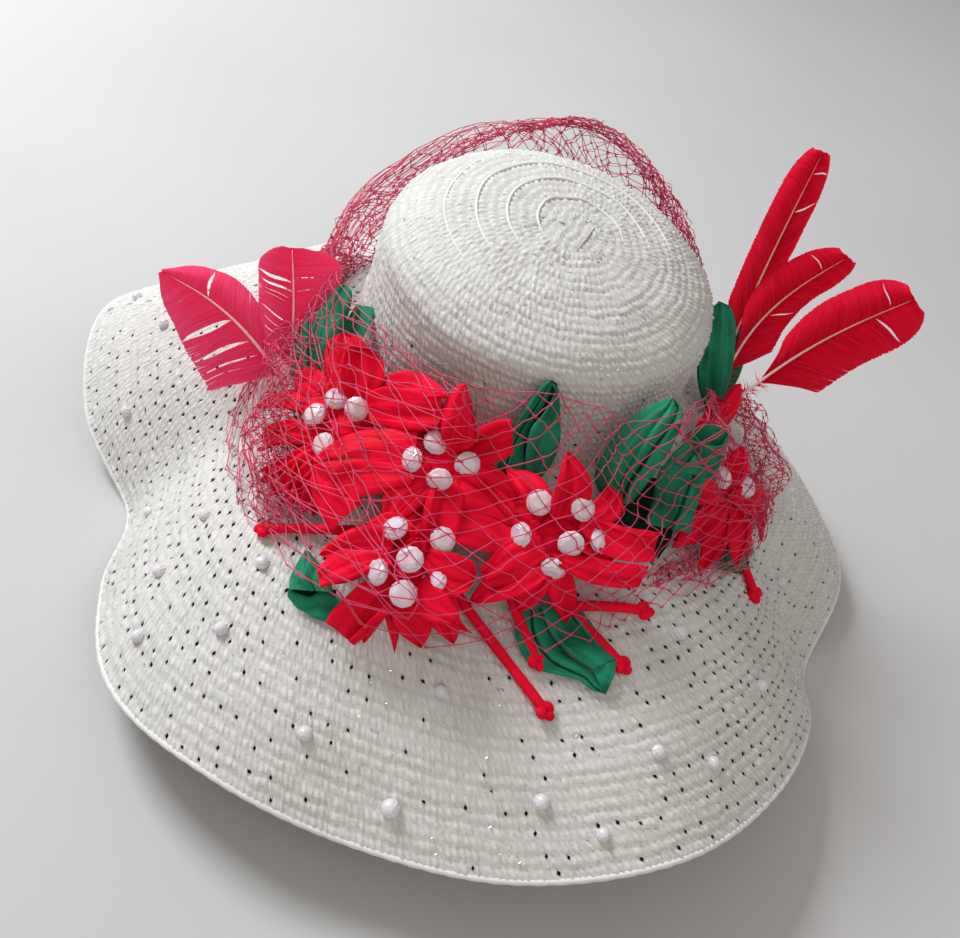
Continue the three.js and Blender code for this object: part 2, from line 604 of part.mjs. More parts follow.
function place(name, solid, finish) {
  const mesh = new THREE.Mesh(toGeometry(solid), new THREE.MeshStandardMaterial(finish));
  mesh.name = name;
  hat.add(mesh);
}

// Main forms, then everything that is seated on them: each later piece is cut back by the clearance from what it meets
const crown = crownSolid();
const brim = brimBeads().reduce((whole, bead) => whole.add(bead), brimSolid());
place('crown', crown, straw);
place('brim', brim, straw);
const hatForm = crownSolid(GAP).add(brimSolid(GAP));
const brimBeadRoom = BRIM_BEADS.map(({ azimuth, out, radius }) => {
  return ball(radius + GAP, brimPoint(out, radians(azimuth), radius * 0.65), 8, 3);
});
let taken = brimBeadRoom.reduce((whole, bead) => whole.add(bead), hatForm);

const beadRoom = BEADS.map(({ at }) => ball(BEAD_RADIUS + GAP * 1.2, vec(at)));
BEADS.forEach(({ at }, i) => {
  place(`bead_${String(i + 1).padStart(2, '0')}`, ball(BEAD_RADIUS, vec(at)), pearl);
});
taken = beadRoom.reduce((whole, bead) => whole.add(bead), taken);

const trimmedFlower = (flower, grow) => FLOWERS.filter((other) => other !== flower).reduce((solid, other) => {
  return solid.subtract(beyondMidway(vec(flower.at), vec(other.at), grow));
}, flowerSolid(flower, grow));
for (const flower of FLOWERS) place(flower.name, trimmedFlower(flower, 0).subtract(taken), satinRed);
taken = FLOWERS.reduce((whole, flower) => whole.add(trimmedFlower(flower, BLADE_ROOM)), taken);

for (const stamen of STAMENS) {
  place(stamen.name, stamenSolid(stamen).subtract(taken), satinRed);
  taken = taken.add(stamenSolid(stamen, GAP));
}
for (const leaf of LEAVES) {
  place(leaf.name, leafSolid(leaf).subtract(taken), leaf.red ? satinRed : satinGreen);
  taken = taken.add(leafSolid(leaf, BLADE_ROOM));
}
for (const feather of FEATHERS) {
  place(feather.name, featherSolid(feather).subtract(taken), plumeRed);
  taken = taken.add(featherSolid(feather, BLADE_ROOM));
}
place('veil_front', veilSolid(VEIL_FRONT, 4, 11).subtract(taken), netPink);
place('veil_back', veilSolid(VEIL_BACK, 3, 9).subtract(taken), netPink);

// Standing height and centre
hat.updateMatrixWorld(true);
const box = new THREE.Box3().setFromObject(hat, true);
const middle = box.getCenter(new THREE.Vector3());
hat.position.set(-middle.x, -middle.y, -box.min.z);

export default hat;
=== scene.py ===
import math

import bpy
import numpy as np
from mathutils import Matrix, Vector
from mathutils.bvhtree import BVHTree


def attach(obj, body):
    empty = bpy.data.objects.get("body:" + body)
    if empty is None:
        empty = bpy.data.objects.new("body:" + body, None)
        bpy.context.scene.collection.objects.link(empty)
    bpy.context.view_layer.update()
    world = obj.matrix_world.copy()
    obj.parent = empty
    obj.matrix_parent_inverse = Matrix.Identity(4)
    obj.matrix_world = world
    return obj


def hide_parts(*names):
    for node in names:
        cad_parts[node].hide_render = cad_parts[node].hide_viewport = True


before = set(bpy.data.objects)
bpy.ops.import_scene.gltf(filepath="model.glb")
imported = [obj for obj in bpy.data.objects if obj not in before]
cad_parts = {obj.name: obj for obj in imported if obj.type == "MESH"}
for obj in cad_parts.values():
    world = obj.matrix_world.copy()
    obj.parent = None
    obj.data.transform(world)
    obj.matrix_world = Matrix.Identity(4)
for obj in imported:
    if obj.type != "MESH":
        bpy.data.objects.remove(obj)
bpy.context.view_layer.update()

SHIFT = np.array([6.5, 16.0548, 120.3367])

# Camera: the photograph's place, height and tilt
EYE = np.array([0.108, -464.626, 348.049])
EYE_ELEVATION = math.radians(44)
EYE_ROLL = math.radians(18)
SENSOR_WIDTH = 36
FOCAL_LENGTH = 37.5
level_right = Vector((1, 0, 0))
level_up = Vector((0, math.sin(EYE_ELEVATION), math.cos(EYE_ELEVATION)))
backward = Vector((0, -math.cos(EYE_ELEVATION), math.sin(EYE_ELEVATION)))
view_right = math.cos(EYE_ROLL) * level_right + math.sin(EYE_ROLL) * level_up
view_up = -math.sin(EYE_ROLL) * level_right + math.cos(EYE_ROLL) * level_up
camera = bpy.data.objects.new("camera", bpy.data.cameras.new("camera"))
bpy.context.scene.collection.objects.link(camera)
turned = Matrix((view_right, view_up, backward)).transposed().to_4x4()
camera.matrix_world = Matrix.Translation(Vector((EYE + SHIFT) / 1000)) @ turned
camera.data.sensor_fit = "HORIZONTAL"
camera.data.sensor_width = SENSOR_WIDTH
camera.data.lens = FOCAL_LENGTH
camera.data.clip_start = 0.01
bpy.context.scene.camera = camera


# Mesh building

def to_metres(points):
    return (np.asarray(points, float) + SHIFT) / 1000


def unit(vector):
    vector = np.asarray(vector, float)
    return vector / np.maximum(np.linalg.norm(vector, axis=-1, keepdims=True), 1e-9)


def grid_faces(rows, columns, closed=False):
    """Corners of each face of a grid of points. Closed joins the last column to the first."""
    i, j = np.meshgrid(np.arange(rows - 1), np.arange(columns if closed else columns - 1), indexing="ij")
    k = (j + 1) % columns
    return np.stack([i * columns + j, i * columns + k, (i + 1) * columns + k, (i + 1) * columns + j], -1)


class Pile:
    """Points and four-cornered faces of many small forms, gathered into one mesh. Each point has a tone
    from 0 to 1, and a place in its own cloth or braid, in millimetres across and along the threads."""

    def __init__(self):
        self.points, self.faces, self.tones, self.threads, self.count = [], [], [], [], 0

    def add(self, points, faces, tone=0.5, thread=(0, 0, 0)):
        points = np.asarray(points, float).reshape(-1, 3)
        self.points.append(points)
        self.threads.append(np.broadcast_to(np.asarray(thread, float).reshape(-1, 3), points.shape))
        self.faces.append(np.asarray(faces, int).reshape(-1, 4) + self.count)
        self.tones.append(np.broadcast_to(np.asarray(tone, float).reshape(-1), (len(points),)))
        self.count += len(points)

    def grid(self, points, tone=0.5, closed=False, thread=(0, 0, 0)):
        """A grid of points, rows by columns."""
        rows, columns = points.shape[:2]
        tones = np.broadcast_to(tone, (rows, columns))
        self.add(points, grid_faces(rows, columns, closed), tones, np.broadcast_to(thread, points.shape))

    def doubled(self, form, normal, thick, tone, thread):
        """A sheet of cloth with a front and a back, closed along both long edges."""
        lift = normal * thick[..., None]
        both = np.concatenate([form + lift, (form - lift)[:, ::-1]], 1)
        tones = np.concatenate([tone, tone[:, ::-1]], 1)
        self.grid(both, tones, closed=True, thread=np.concatenate([thread, thread[:, ::-1]], 1))

    def merged(self):
        """Points that lie together are made one, so that shading runs smoothly across neighbouring forms."""
        points = np.concatenate(self.points)
        keys = np.round(points * 100).astype(np.int64)
        _, first, back = np.unique(keys, axis=0, return_index=True, return_inverse=True)
        faces = back.reshape(-1)[np.concatenate(self.faces)]
        return points[first], faces, np.concatenate(self.tones)[first], np.concatenate(self.threads)[first]

    def build(self, name, material, smooth=True, merge=False, nodes=(), slot=None):
        if merge:
            points, faces, tones, threads = self.merged()
        else:
            lists = (self.points, self.faces, self.tones, self.threads)
            points, faces, tones, threads = (np.concatenate(x) for x in lists)
        mesh = bpy.data.meshes.new(name)
        mesh.vertices.add(len(points))
        mesh.vertices.foreach_set("co", to_metres(points).astype(np.float32).ravel())
        mesh.loops.add(faces.size)
        mesh.loops.foreach_set("vertex_index", faces.ravel().astype(np.int32))
        mesh.polygons.add(len(faces))
        mesh.polygons.foreach_set("loop_start", np.arange(0, faces.size, 4, dtype=np.int32))
        mesh.update(calc_edges=True)
        tone_layer = mesh.attributes.new("tone", "FLOAT", "POINT")
        tone_layer.data.foreach_set("value", tones.astype(np.float32))
        thread_layer = mesh.attributes.new("thread", "FLOAT_VECTOR", "POINT")
        thread_layer.data.foreach_set("vector", threads.astype(np.float32).ravel())
        mesh.validate()
        mesh.polygons.foreach_set("use_smooth", np.full(len(mesh.polygons), smooth))
        mesh.materials.append(material)
        piece = bpy.data.objects.new(name, mesh)
        bpy.context.scene.collection.objects.link(piece)
        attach(piece, "root")
        if nodes:
            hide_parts(*nodes)
        return piece


# A direction that no thread or cord runs along, from which the sides of their tubes are worked out
ODD_DIRECTION = (0.13, 0.31, 0.94)


def ring_points(side, over, angle):
    """Directions round a line at each of its points."""
    return side[:, None] * np.cos(angle)[None, :, None] + over[:, None] * np.sin(angle)[None, :, None]


def tube(pile, line, radius, sides=8, tone=0.5):
    """A round tube along a line of points. The radius is one number or one for each point."""
    line = np.asarray(line, float)
    radius = np.broadcast_to(np.asarray(radius, float), (len(line),))
    tone = np.broadcast_to(np.asarray(tone, float), (len(line),))
    ahead = unit(np.gradient(line, axis=0))
    side = unit(np.cross(ahead, ODD_DIRECTION))
    over = np.cross(side, ahead)
    line, side, over = (np.concatenate([x[:1], x, x[-1:]]) for x in (line, side, over))
    radius = np.concatenate([[0.01], radius, [0.01]])
    tone = np.concatenate([tone[:1], tone, tone[-1:]])
    ring = ring_points(side, over, np.linspace(0, 2 * np.pi, sides, endpoint=False))
    pile.grid(line[:, None] + ring * radius[:, None, None], tone[:, None], closed=True)


def strands(pile, starts, ends, radius, sag=None, sides=4, steps=2):
    """Many short straight or sagging threads at once."""
    starts, ends = np.asarray(starts, float), np.asarray(ends, float)
    count = len(starts)
    share = np.linspace(0, 1, steps + 1)[None, :, None]
    line = starts[:, None] * (1 - share) + ends[:, None] * share
    if sag is not None:
        line = line + np.sin(np.pi * share) * sag[:, None]
    ahead = unit(ends - starts)
    side = unit(np.cross(ahead, ODD_DIRECTION))
    over = np.cross(side, ahead)
    ring = ring_points(side, over, np.linspace(0, 2 * np.pi, sides, endpoint=False) + np.pi / sides)
    radius = np.broadcast_to(np.asarray(radius, float), (count,))
    points = line[:, :, None] + ring[:, None] * radius[:, None, None, None]
    offset = (np.arange(count) * (steps + 1) * sides)[:, None, None]
    pile.add(points, grid_faces(steps + 1, sides, closed=True).reshape(-1, 4)[None] + offset)


def ball(pile, middle, axes, sizes, steps, lump, tone):
    """A lumpy ball, from its three axes and their lengths. lump(polar, around) is the height of its lumps."""
    polar = np.linspace(0.02, np.pi - 0.02, steps[0])[:, None]
    around = np.linspace(0, 2 * np.pi, steps[1], endpoint=False)[None]
    height = 1 + lump(polar, around)
    shares = (np.cos(polar), np.sin(polar) * np.cos(around), np.sin(polar) * np.sin(around))
    form = sum(axis * (share * height)[..., None] * size for axis, share, size in zip(axes, shares, sizes))
    pile.grid(middle + form, tone, closed=True)


# Finishes: each is a tree of nodes with its own colour variation, grain and roughness

class Finish:
    """A material whose nodes are added one line at a time."""

    def __init__(self, name):
        self.material = bpy.data.materials.new(name)
        self.material.use_nodes = True
        self.tree = self.material.node_tree
        self.shader = self.tree.nodes["Principled BSDF"]
        self.place = self.add("ShaderNodeTexCoord").outputs["Object"]

    def add(self, kind, **settings):
        node = self.tree.nodes.new(kind)
        for name, value in settings.items():
            setattr(node, name, value)
        return node

    def link(self, source, target):
        self.tree.links.new(source, target)

    def set(self, **values):
        for name, value in values.items():
            self.shader.inputs[name.replace("_", " ")].default_value = value

    def tone(self):
        return self.add("ShaderNodeAttribute", attribute_name="tone").outputs["Fac"]

    def noise(self, scale, detail=3.0, roughness=0.5, stretch=None, place=None):
        node = self.add("ShaderNodeTexNoise")
        node.inputs["Scale"].default_value = scale
        node.inputs["Detail"].default_value = detail
        node.inputs["Roughness"].default_value = roughness
        place = place or self.place
        if stretch is not None:
            mapping = self.add("ShaderNodeMapping")
            mapping.inputs["Scale"].default_value = stretch
            self.link(place, mapping.inputs["Vector"])
            place = mapping.outputs["Vector"]
        self.link(place, node.inputs["Vector"])
        return node.outputs["Fac"]

    def threads(self, across, along, detail=3.0, roughness=0.6):
        """Noise drawn out along the threads: across and along are its waves in a millimetre."""
        place = self.add("ShaderNodeAttribute", attribute_name="thread").outputs["Vector"]
        return self.noise(1.0, detail, roughness, (across, along, 1.0), place)

    def ramp(self, value, *stops):
        """Colours along a value, each stop as (position, colour)."""
        node = self.add("ShaderNodeValToRGB")
        entries = node.color_ramp.elements
        while len(entries) < len(stops):
            entries.new(0.5)
        for entry, (position, colour) in zip(entries, stops):
            entry.position = position
            entry.color = (*colour, 1)
        self.link(value, node.inputs["Fac"])
        return node.outputs["Color"]

    def mix(self, share, first, second, blend="MIX"):
        node = self.add("ShaderNodeMix", data_type="RGBA", blend_type=blend)
        node.inputs[0].default_value = share
        self.link(first, node.inputs[6])
        self.link(second, node.inputs[7])
        return node.outputs[2]

    def shaded(self, colour, shade):
        return self.mix(1.0, colour, shade, "MULTIPLY")

    def colour(self, value):
        self.link(value, self.shader.inputs["Base Color"])

    def roughness(self, value, low, high):
        node = self.add("ShaderNodeMapRange")
        self.link(value, node.inputs["Value"])
        node.inputs["To Min"].default_value = low
        node.inputs["To Max"].default_value = high
        self.link(node.outputs["Result"], self.shader.inputs["Roughness"])

    def bumps(self, *layers):
        """Layers of (height, strength, distance in metres), the broadest first."""
        normal = None
        for height, strength, distance in layers:
            node = self.add("ShaderNodeBump")
            node.inputs["Strength"].default_value = strength
            node.inputs["Distance"].default_value = distance
            self.link(height, node.inputs["Height"])
            if normal is not None:
                self.link(normal, node.inputs["Normal"])
            normal = node.outputs["Normal"]
        self.link(normal, self.shader.inputs["Normal"])


WHITE = (1.0, 1.0, 1.0)


def straw_finish():
    finish = Finish("straw")
    grain = finish.noise(700, 5, 0.62)
    cloudy = finish.noise(24, 3, 0.6)
    fibres = finish.threads(0.8, 0.30, 4)
    # The tone ramp paints shade: near black on the pits' floors, dark on the slits' rims, darker in the
    # valleys, lightest on the puffs' tops
    base = finish.ramp(finish.tone(), (0.0, (0.010, 0.010, 0.011)), (0.16, (0.20, 0.195, 0.19)),
                       (0.36, (0.55, 0.545, 0.53)), (1.0, (0.81, 0.81, 0.805)))
    shade = finish.ramp(cloudy, (0.3, (0.93, 0.93, 0.925)), (0.7, WHITE))
    specks = finish.ramp(fibres, (0.30, (0.86, 0.85, 0.835)), (0.5, WHITE))
    finish.colour(finish.shaded(finish.shaded(base, shade), specks))
    finish.roughness(grain, 0.45, 0.75)
    finish.set(Sheen_Weight=0.1)
    finish.bumps((finish.threads(0.30, 0.20, 2), 0.6, 0.0014), (fibres, 0.55, 0.0007), (grain, 0.4, 0.00025))
    return finish.material


def satin_finish(name, deep, bright):
    finish = Finish(name)
    crumple = finish.noise(55)
    creases = finish.threads(0.24, 0.025, 3, 0.45)
    weave = finish.noise(1500, 2)
    # Painted shade: the colour runs from deep in the bump's sunk creases to bright on its raised crumples
    body = finish.ramp(finish.mix(0.5, crumple, creases), (0.30, deep), (0.58, bright))
    # Painted shade where the tone is low: petal feet and pleat valleys, leaf creases, the roll's hollow and
    # sheets laid in as shade
    edge = finish.ramp(finish.tone(), (0.0, (0.16, 0.16, 0.16)), (0.3, WHITE))
    finish.colour(finish.shaded(body, edge))
    finish.roughness(crumple, 0.42, 0.6)
    finish.set(Specular_IOR_Level=0.05, Subsurface_Weight=0.08)
    finish.set(Subsurface_Radius=(0.004, 0.001, 0.001), Subsurface_Scale=0.5)
    finish.bumps((crumple, 0.3, 0.002), (creases, 0.55, 0.0028), (weave, 0.15, 0.0001))
    return finish.material


def feather_finish(name, deep, body, bright, shows_through):
    """Barbs, with the share of light that shows through them."""
    finish = Finish(name)
    streak = finish.threads(0.8, 0.06, 4)
    vane = finish.ramp(finish.tone(), (0.0, deep), (0.45, body), (1.0, bright))
    finish.colour(finish.mix(0.35, vane, finish.ramp(streak, (0.35, deep), (0.6, bright))))
    finish.roughness(streak, 0.5, 0.7)
    finish.set(Specular_IOR_Level=0.08, Sheen_Weight=0.05, Sheen_Tint=(1.0, 0.3, 0.45, 1))
    finish.bumps((streak, 0.3, 0.0003))
    glow = finish.add("ShaderNodeBsdfTranslucent")
    finish.link(vane, glow.inputs["Color"])
    both = finish.add("ShaderNodeMixShader")
    both.inputs["Fac"].default_value = shows_through
    finish.link(finish.shader.outputs["BSDF"], both.inputs[1])
    finish.link(glow.outputs["BSDF"], both.inputs[2])
    finish.link(both.outputs["Shader"], finish.tree.nodes["Material Output"].inputs["Surface"])
    return finish.material


def quill_finish():
    finish = Finish("quill")
    streak = finish.noise(300, 3, 0.6, (1, 1, 0.2))
    tint = finish.ramp(finish.tone(), (0.0, (0.72, 0.05, 0.10)), (0.45, (0.85, 0.36, 0.40)),
                       (1.0, (0.95, 0.78, 0.78)))
    stain = finish.ramp(streak, (0.3, (0.6, 0.1, 0.14)), (0.7, (1.0, 0.85, 0.83)))
    finish.colour(finish.mix(0.25, tint, stain))
    finish.roughness(streak, 0.25, 0.45)
    finish.bumps((streak, 0.3, 0.0002))
    return finish.material


def bead_finish(name, rainbow_share, coat):
    """Milky glass with a rainbow coating, whose tints are painted onto each facet by the way it faces: a
    painted reflection of the coating.
    """
    finish = Finish(name)
    facing = finish.add("ShaderNodeNewGeometry").outputs["True Normal"]
    tilt = finish.noise(2.4, 1, 0.55, place=facing)
    rainbow = finish.ramp(tilt, (0.25, (0.50, 0.52, 0.86)), (0.40, (0.74, 0.66, 0.80)),
                          (0.50, (0.84, 0.77, 0.79)), (0.60, (0.86, 0.62, 0.80)),
                          (0.70, (0.92, 0.74, 0.60)), (0.85, (0.54, 0.82, 0.74)))
    milk = finish.ramp(finish.noise(160, 2), (0.35, (0.66, 0.63, 0.64)), (0.65, (0.78, 0.76, 0.76)))
    finish.colour(finish.mix(rainbow_share, milk, rainbow))
    finish.roughness(finish.noise(90, 1), 0.08, 0.2)
    finish.set(Coat_Weight=coat, Coat_Roughness=0.04, Subsurface_Weight=0.15, Subsurface_Scale=0.4)
    finish.bumps((finish.noise(300, 2), 0.04, 0.0002))
    return finish.material


def speckled_finish(name, colour, rough, bump=None, **settings):
    """A plain finish. colour is (scale, detail, first, second), rough is (scale, detail, low, high), and bump
    is (scale, detail, strength, distance)."""
    finish = Finish(name)
    scale, detail, first, second = colour
    finish.colour(finish.ramp(finish.noise(scale, detail), (0.3, first), (0.7, second)))
    scale, detail, low, high = rough
    finish.roughness(finish.noise(scale, detail), low, high)
    finish.set(**settings)
    if bump:
        scale, detail, strength, distance = bump
        finish.bumps((finish.noise(scale, detail), strength, distance))
    return finish.material


STRAW = straw_finish()
RED = satin_finish("satin_red", (0.50, 0.0, 0.010), (0.92, 0.006, 0.040))
GREEN = satin_finish("satin_green", (0.004, 0.060, 0.032), (0.021, 0.245, 0.14))
# Lit and shaded copies of one feather colour: the left feathers are painted lit, bright pink, the right ones
# painted shaded, deep red
PAINTED_LIT_FEATHER = feather_finish("feather_painted_lit", (0.95, 0.015, 0.09), (1.0, 0.05, 0.20), (1.0, 0.15, 0.34),
                              shows_through=0.32)
PAINTED_SHADED_FEATHER = feather_finish("feather_red", (0.40, 0.0, 0.006), (0.86, 0.004, 0.035), (1.0, 0.02, 0.09),
                               shows_through=0.48)
QUILL = quill_finish()
HEART_BEAD = bead_finish("bead", 0.7, 0.6)
BRIM_BEAD = bead_finish("bead_clear", 0.25, 0.4)
NET = speckled_finish("net", (40, 2, (0.50, 0.004, 0.055), (0.78, 0.02, 0.14)), (1800, 2, 0.35, 0.6),
                      (1800, 2, 0.4, 0.0002), Sheen_Weight=0.2)
LUREX = speckled_finish("lurex", (500, 1, (0.78, 0.80, 0.84), (1.0, 0.97, 0.92)), (900, 1, 0.25, 0.4),
                        (2500, 1, 0.2, 0.0001), Metallic=0.7)
THREAD = speckled_finish("thread", (2500, 2, (0.62, 0.61, 0.58), (0.85, 0.85, 0.83)), (2500, 2, 0.4, 0.7),
                         (2500, 2, 0.3, 0.0001))
FLOOR = speckled_finish("floor", (3, 3, (0.50, 0.50, 0.51), (0.53, 0.53, 0.54)), (60, 2, 0.75, 0.9))

# Brim: its edge every 15 degrees from -180, as (distance from the axis, drop below the crown's foot)
BRIM_EDGE = [
    (256, 74), (242, 96), (215, 118.5), (240, 105), (267, 88), (271, 79), (269, 84), (274, 79),
    (277, 62), (264, 72), (249, 91), (235, 118.5), (243, 99), (242, 103), (239, 108), (230, 118.5),
    (232, 116), (236, 111), (237, 110), (230, 118.5), (242, 104), (243, 100), (243, 99), (250, 88),
]
FOOT_RADIUS = 93.522
BRIM_BULGE = 9
WALL_HEIGHT = 58.7


def spline(a, b, c, d, t):
    """The stretch from b to c of a smooth curve through four values."""
    return b + 0.5 * t * (c - a + t * (2 * a - 5 * b + 4 * c - d + t * (3 * (b - c) + d - a)))


def brim_edge(column, azimuth):
    """Smooth value of the edge table at an azimuth in radians."""
    values = np.array([row[column] for row in BRIM_EDGE], float)
    place = (np.degrees(azimuth) + 180) % 360 / 15
    i = np.floor(place).astype(int) % 24
    return spline(*(values[(i + k) % 24] for k in (-1, 0, 1, 2)), place - np.floor(place))


def brim_points(out, azimuth, rise=0.0):
    """Points of the brim's upper face: out is 0 at the crown and 1 at the edge, rise is along the normal."""
    out, azimuth, rise = np.broadcast_arrays(np.asarray(out, float), azimuth, rise)
    reach = brim_edge(0, azimuth) - FOOT_RADIUS
    drop = brim_edge(1, azimuth)
    length = np.hypot(reach, drop)
    bulge = BRIM_BULGE * 4 * out * (1 - out)
    tilt = np.arctan2(drop, reach) - np.arctan(BRIM_BULGE * 4 * (1 - 2 * out) / length)
    radius = FOOT_RADIUS + reach * out + drop / length * bulge + np.sin(tilt) * rise
    height = -drop * out + reach / length * bulge + np.cos(tilt) * rise
    return np.stack([radius * np.cos(azimuth), radius * np.sin(azimuth), height], -1)


def brim_height(x, y):
    line = brim_points(np.linspace(0, 1, 400), math.atan2(y, x))
    return float(np.interp(math.hypot(x, y), np.hypot(line[:, 0], line[:, 1]), line[:, 2]))


def smooth_route(points, count):
    """A rounded line through the points, as so many evenly spaced points, and its length."""
    points = np.asarray(points, float)
    ends = np.concatenate([[2 * points[0] - points[1]], points, [2 * points[-1] - points[-2]]])
    line = []
    for i in range(1, len(ends) - 2):
        line += [spline(*ends[i - 1:i + 3], t) for t in np.linspace(0, 1, 40, endpoint=False)]
    line = np.array(line + [points[-1]])
    steps = np.concatenate([[0], np.cumsum(np.linalg.norm(np.diff(line, axis=0), axis=1))])
    even = np.linspace(0, steps[-1], count)
    return np.stack([np.interp(even, steps, line[:, k]) for k in range(3)], -1), steps[-1]


# Stamens: satin cords that lie on the brim, with a two-lobed knot at the end. Each row has the places of both
# ends seen from above, and the height of the cord's middle over the brim at its start and at the knot.
STAMENS = [
    ("stamen_low_left", (4, -166), (63, -203), (6, 3.2)),
    ("stamen_low_middle", (27, -158), (53, -185), (10, 4.5)),
    ("stamen_low_right", (46, -153), (92, -176), (8, 3.4)),
    ("stamen_turned_up", (58, -160), (96, -150), (7, 8)),
    ("stamen_left", (-38, -156), (-91, -158), (11, 3.4)),
    ("stamen_right", (138, -60), (163, -88), (12, 3.4)),
]
CORD_RADIUS = 2.5
# The knot's lobes and its blunt tail, as (millimetres to the side, millimetres ahead, radius)
KNOT_LOBES = [(2.108, -0.9, 2.9), (-2.108, -0.9, 2.9), (0.0, 2.1, 2.5)]


def stamen_route(start, end, rise):
    corners = []
    for share in (0, 0.35, 0.7, 1):
        x = start[0] + (end[0] - start[0]) * share
        y = start[1] + (end[1] - start[1]) * share
        corners.append((x, y, brim_height(x, y) + rise[0] + (rise[1] - rise[0]) * math.sqrt(share)))
    return smooth_route(corners, 31)


def knot_form(pile, centre, ahead, seed):
    rng = np.random.default_rng(seed)
    side = unit(np.cross(ahead, (0, 0, 1)))
    axes = (ahead, side, np.cross(side, ahead))
    for across, on, radius in KNOT_LOBES:
        turn = rng.uniform(0, 6)
        sizes = (1.05 * radius, radius, 0.92 * radius)
        ball(pile, centre + side * across + ahead * on, axes, sizes, (9, 14),
             lambda polar, around: 0.10 * np.sin(3 * around + turn) * np.sin(2 * polar), 0.8)


for index, (name, start, end, rise) in enumerate(STAMENS):
    route, length = stamen_route(start, end, rise)
    girth = CORD_RADIUS * (1 + 0.05 * np.sin(np.linspace(0, 1, len(route)) * 17 + index))
    cord, knot = Pile(), Pile()
    tube(cord, route, girth, 14, 0.8)
    body = cord.build(name + "_cord", RED, nodes=[name], slot="satin_red")
    knot_form(knot, route[-1], unit(route[-1] - route[-3]), index)
    knot_piece = knot.build(name + "_knot", RED, slot="satin_red")
    to_metres(route[0])
    to_metres(route).tolist()

# Crown: rounded cap on a nearly upright wall, leaning to the front and to the right
CROWN_RADIUS = 90
CAP_HEIGHT = 31.7
WALL_FLARE = 0.06
CAP_ROUNDNESS = 2.38
CAP_SHOULDER = 2.04
CAP_SHARE = 0.64
TIP_FALL_RIGHT = 0.119
TIP_FALL_FRONT = 0.166
TIP_SHIFT_RIGHT = 9
TIP_SHIFT_FRONT = 12


def crown_meridian(share, rise=0.0):
    """Distance from the axis and height of the upright crown, at a share of the way down from its tip."""
    angle = np.minimum(share / CAP_SHARE, 1) * np.pi / 2
    fall = np.maximum(share - CAP_SHARE, 0) / (1 - CAP_SHARE)
    radius = (CROWN_RADIUS + rise) * np.sin(angle) ** (2 / CAP_ROUNDNESS) + WALL_FLARE * WALL_HEIGHT * fall
    cap = np.maximum(np.cos(angle), 0) ** (2 / CAP_SHOULDER)
    return radius, WALL_HEIGHT * (1 - fall) + (CAP_HEIGHT + rise) * cap


CROWN_SHARES = np.linspace(0, 1, 3000)
MERIDIAN = crown_meridian(CROWN_SHARES)
CROWN_LENGTHS = np.concatenate([[0], np.cumsum(np.hypot(np.diff(MERIDIAN[0]), np.diff(MERIDIAN[1])))])
CROWN_LENGTH = CROWN_LENGTHS[-1]


def crown_points(along, azimuth, rise=0.0):
    """Points of the leaning crown: along is the distance from the tip down the crown, in millimetres."""
    share = np.interp(along, CROWN_LENGTHS, CROWN_SHARES)
    radius, height = crown_meridian(share, rise)
    lean = 1 - share
    x, y = radius * np.cos(azimuth), radius * np.sin(azimuth)
    z = height - TIP_FALL_RIGHT * lean * x + TIP_FALL_FRONT * lean * y
    return np.stack([x + TIP_SHIFT_RIGHT * lean, y - TIP_SHIFT_FRONT * lean, z], -1)


# Braid: a row is three courses of narrow leaning puffs, with a slit between some neighbours. It is a grid
# with three points to each puff and four to each course. Heights are in millimetres over the braid's face.
PUFF_LENGTH = 3.1
PUFF_HEIGHT = 1.5
PUFF_POINTS = 3
ROW_WIDTH = 15.2
COURSES = 3
COURSE_POINTS = 4
VALLEY_RISE = 0.1
BORDER_RISE = 0.45
SHEET_THICKNESS = 2.0
SLIT_DEPTH = 1.75
SLIT_RIM_RISE = -0.05
# Braid tones are painted shade: darker in the valleys between puffs, lighter with height up to the puffs'
# tops, dark on the slits' rims
PAINTED_SHADE_VALLEY_TONE = 0.36
PAINTED_SHADE_PUFF_RANGE = 0.5
PAINTED_SHADE_SLIT_TONE = 0.3
# How unevenly the puffs sit, in puffs along the row and in row widths across it
PUFF_SHIFT = 0.16
COURSE_DRIFT = 0.06
# A slit takes one face of the grid, here its corners as (rows on, columns on). The pit under it has four
# points on its rim and four on its floor.
SLIT_CORNERS = ((1, 1), (0, 1), (0, 0), (1, 0))
PIT_FACES = np.array([(0, 1, 5, 4), (1, 2, 6, 5), (2, 3, 7, 6), (3, 0, 4, 7), (4, 5, 6, 7)])


def puff_heights(puffs, rng):
    """How far each point of a row stands above the braid's face."""
    columns = PUFF_POINTS * puffs + 1
    rise = np.full((COURSES * COURSE_POINTS + 1, columns), VALLEY_RISE)
    rise[0] = rise[-1] = BORDER_RISE
    for course in range(COURSES):
        tall = rng.uniform(0.55, 1.15, puffs)
        flank = rng.uniform(0.10, 0.55, (2, puffs))
        at = (np.arange(columns) + course) % (PUFF_POINTS * puffs)
        puff, part = at // PUFF_POINTS, at % PUFF_POINTS
        after = (puff + 1) % puffs
        sides = np.where(part == 1, flank[0, puff] * tall[puff], flank[1, after] * tall[after])
        peak = np.where(part == 0, tall[puff], sides)
        for step in range(1, COURSE_POINTS):
            swell = math.sin(math.pi * step / COURSE_POINTS) ** 0.6
            rise[course * COURSE_POINTS + step] = PUFF_HEIGHT * peak * swell
    return rise


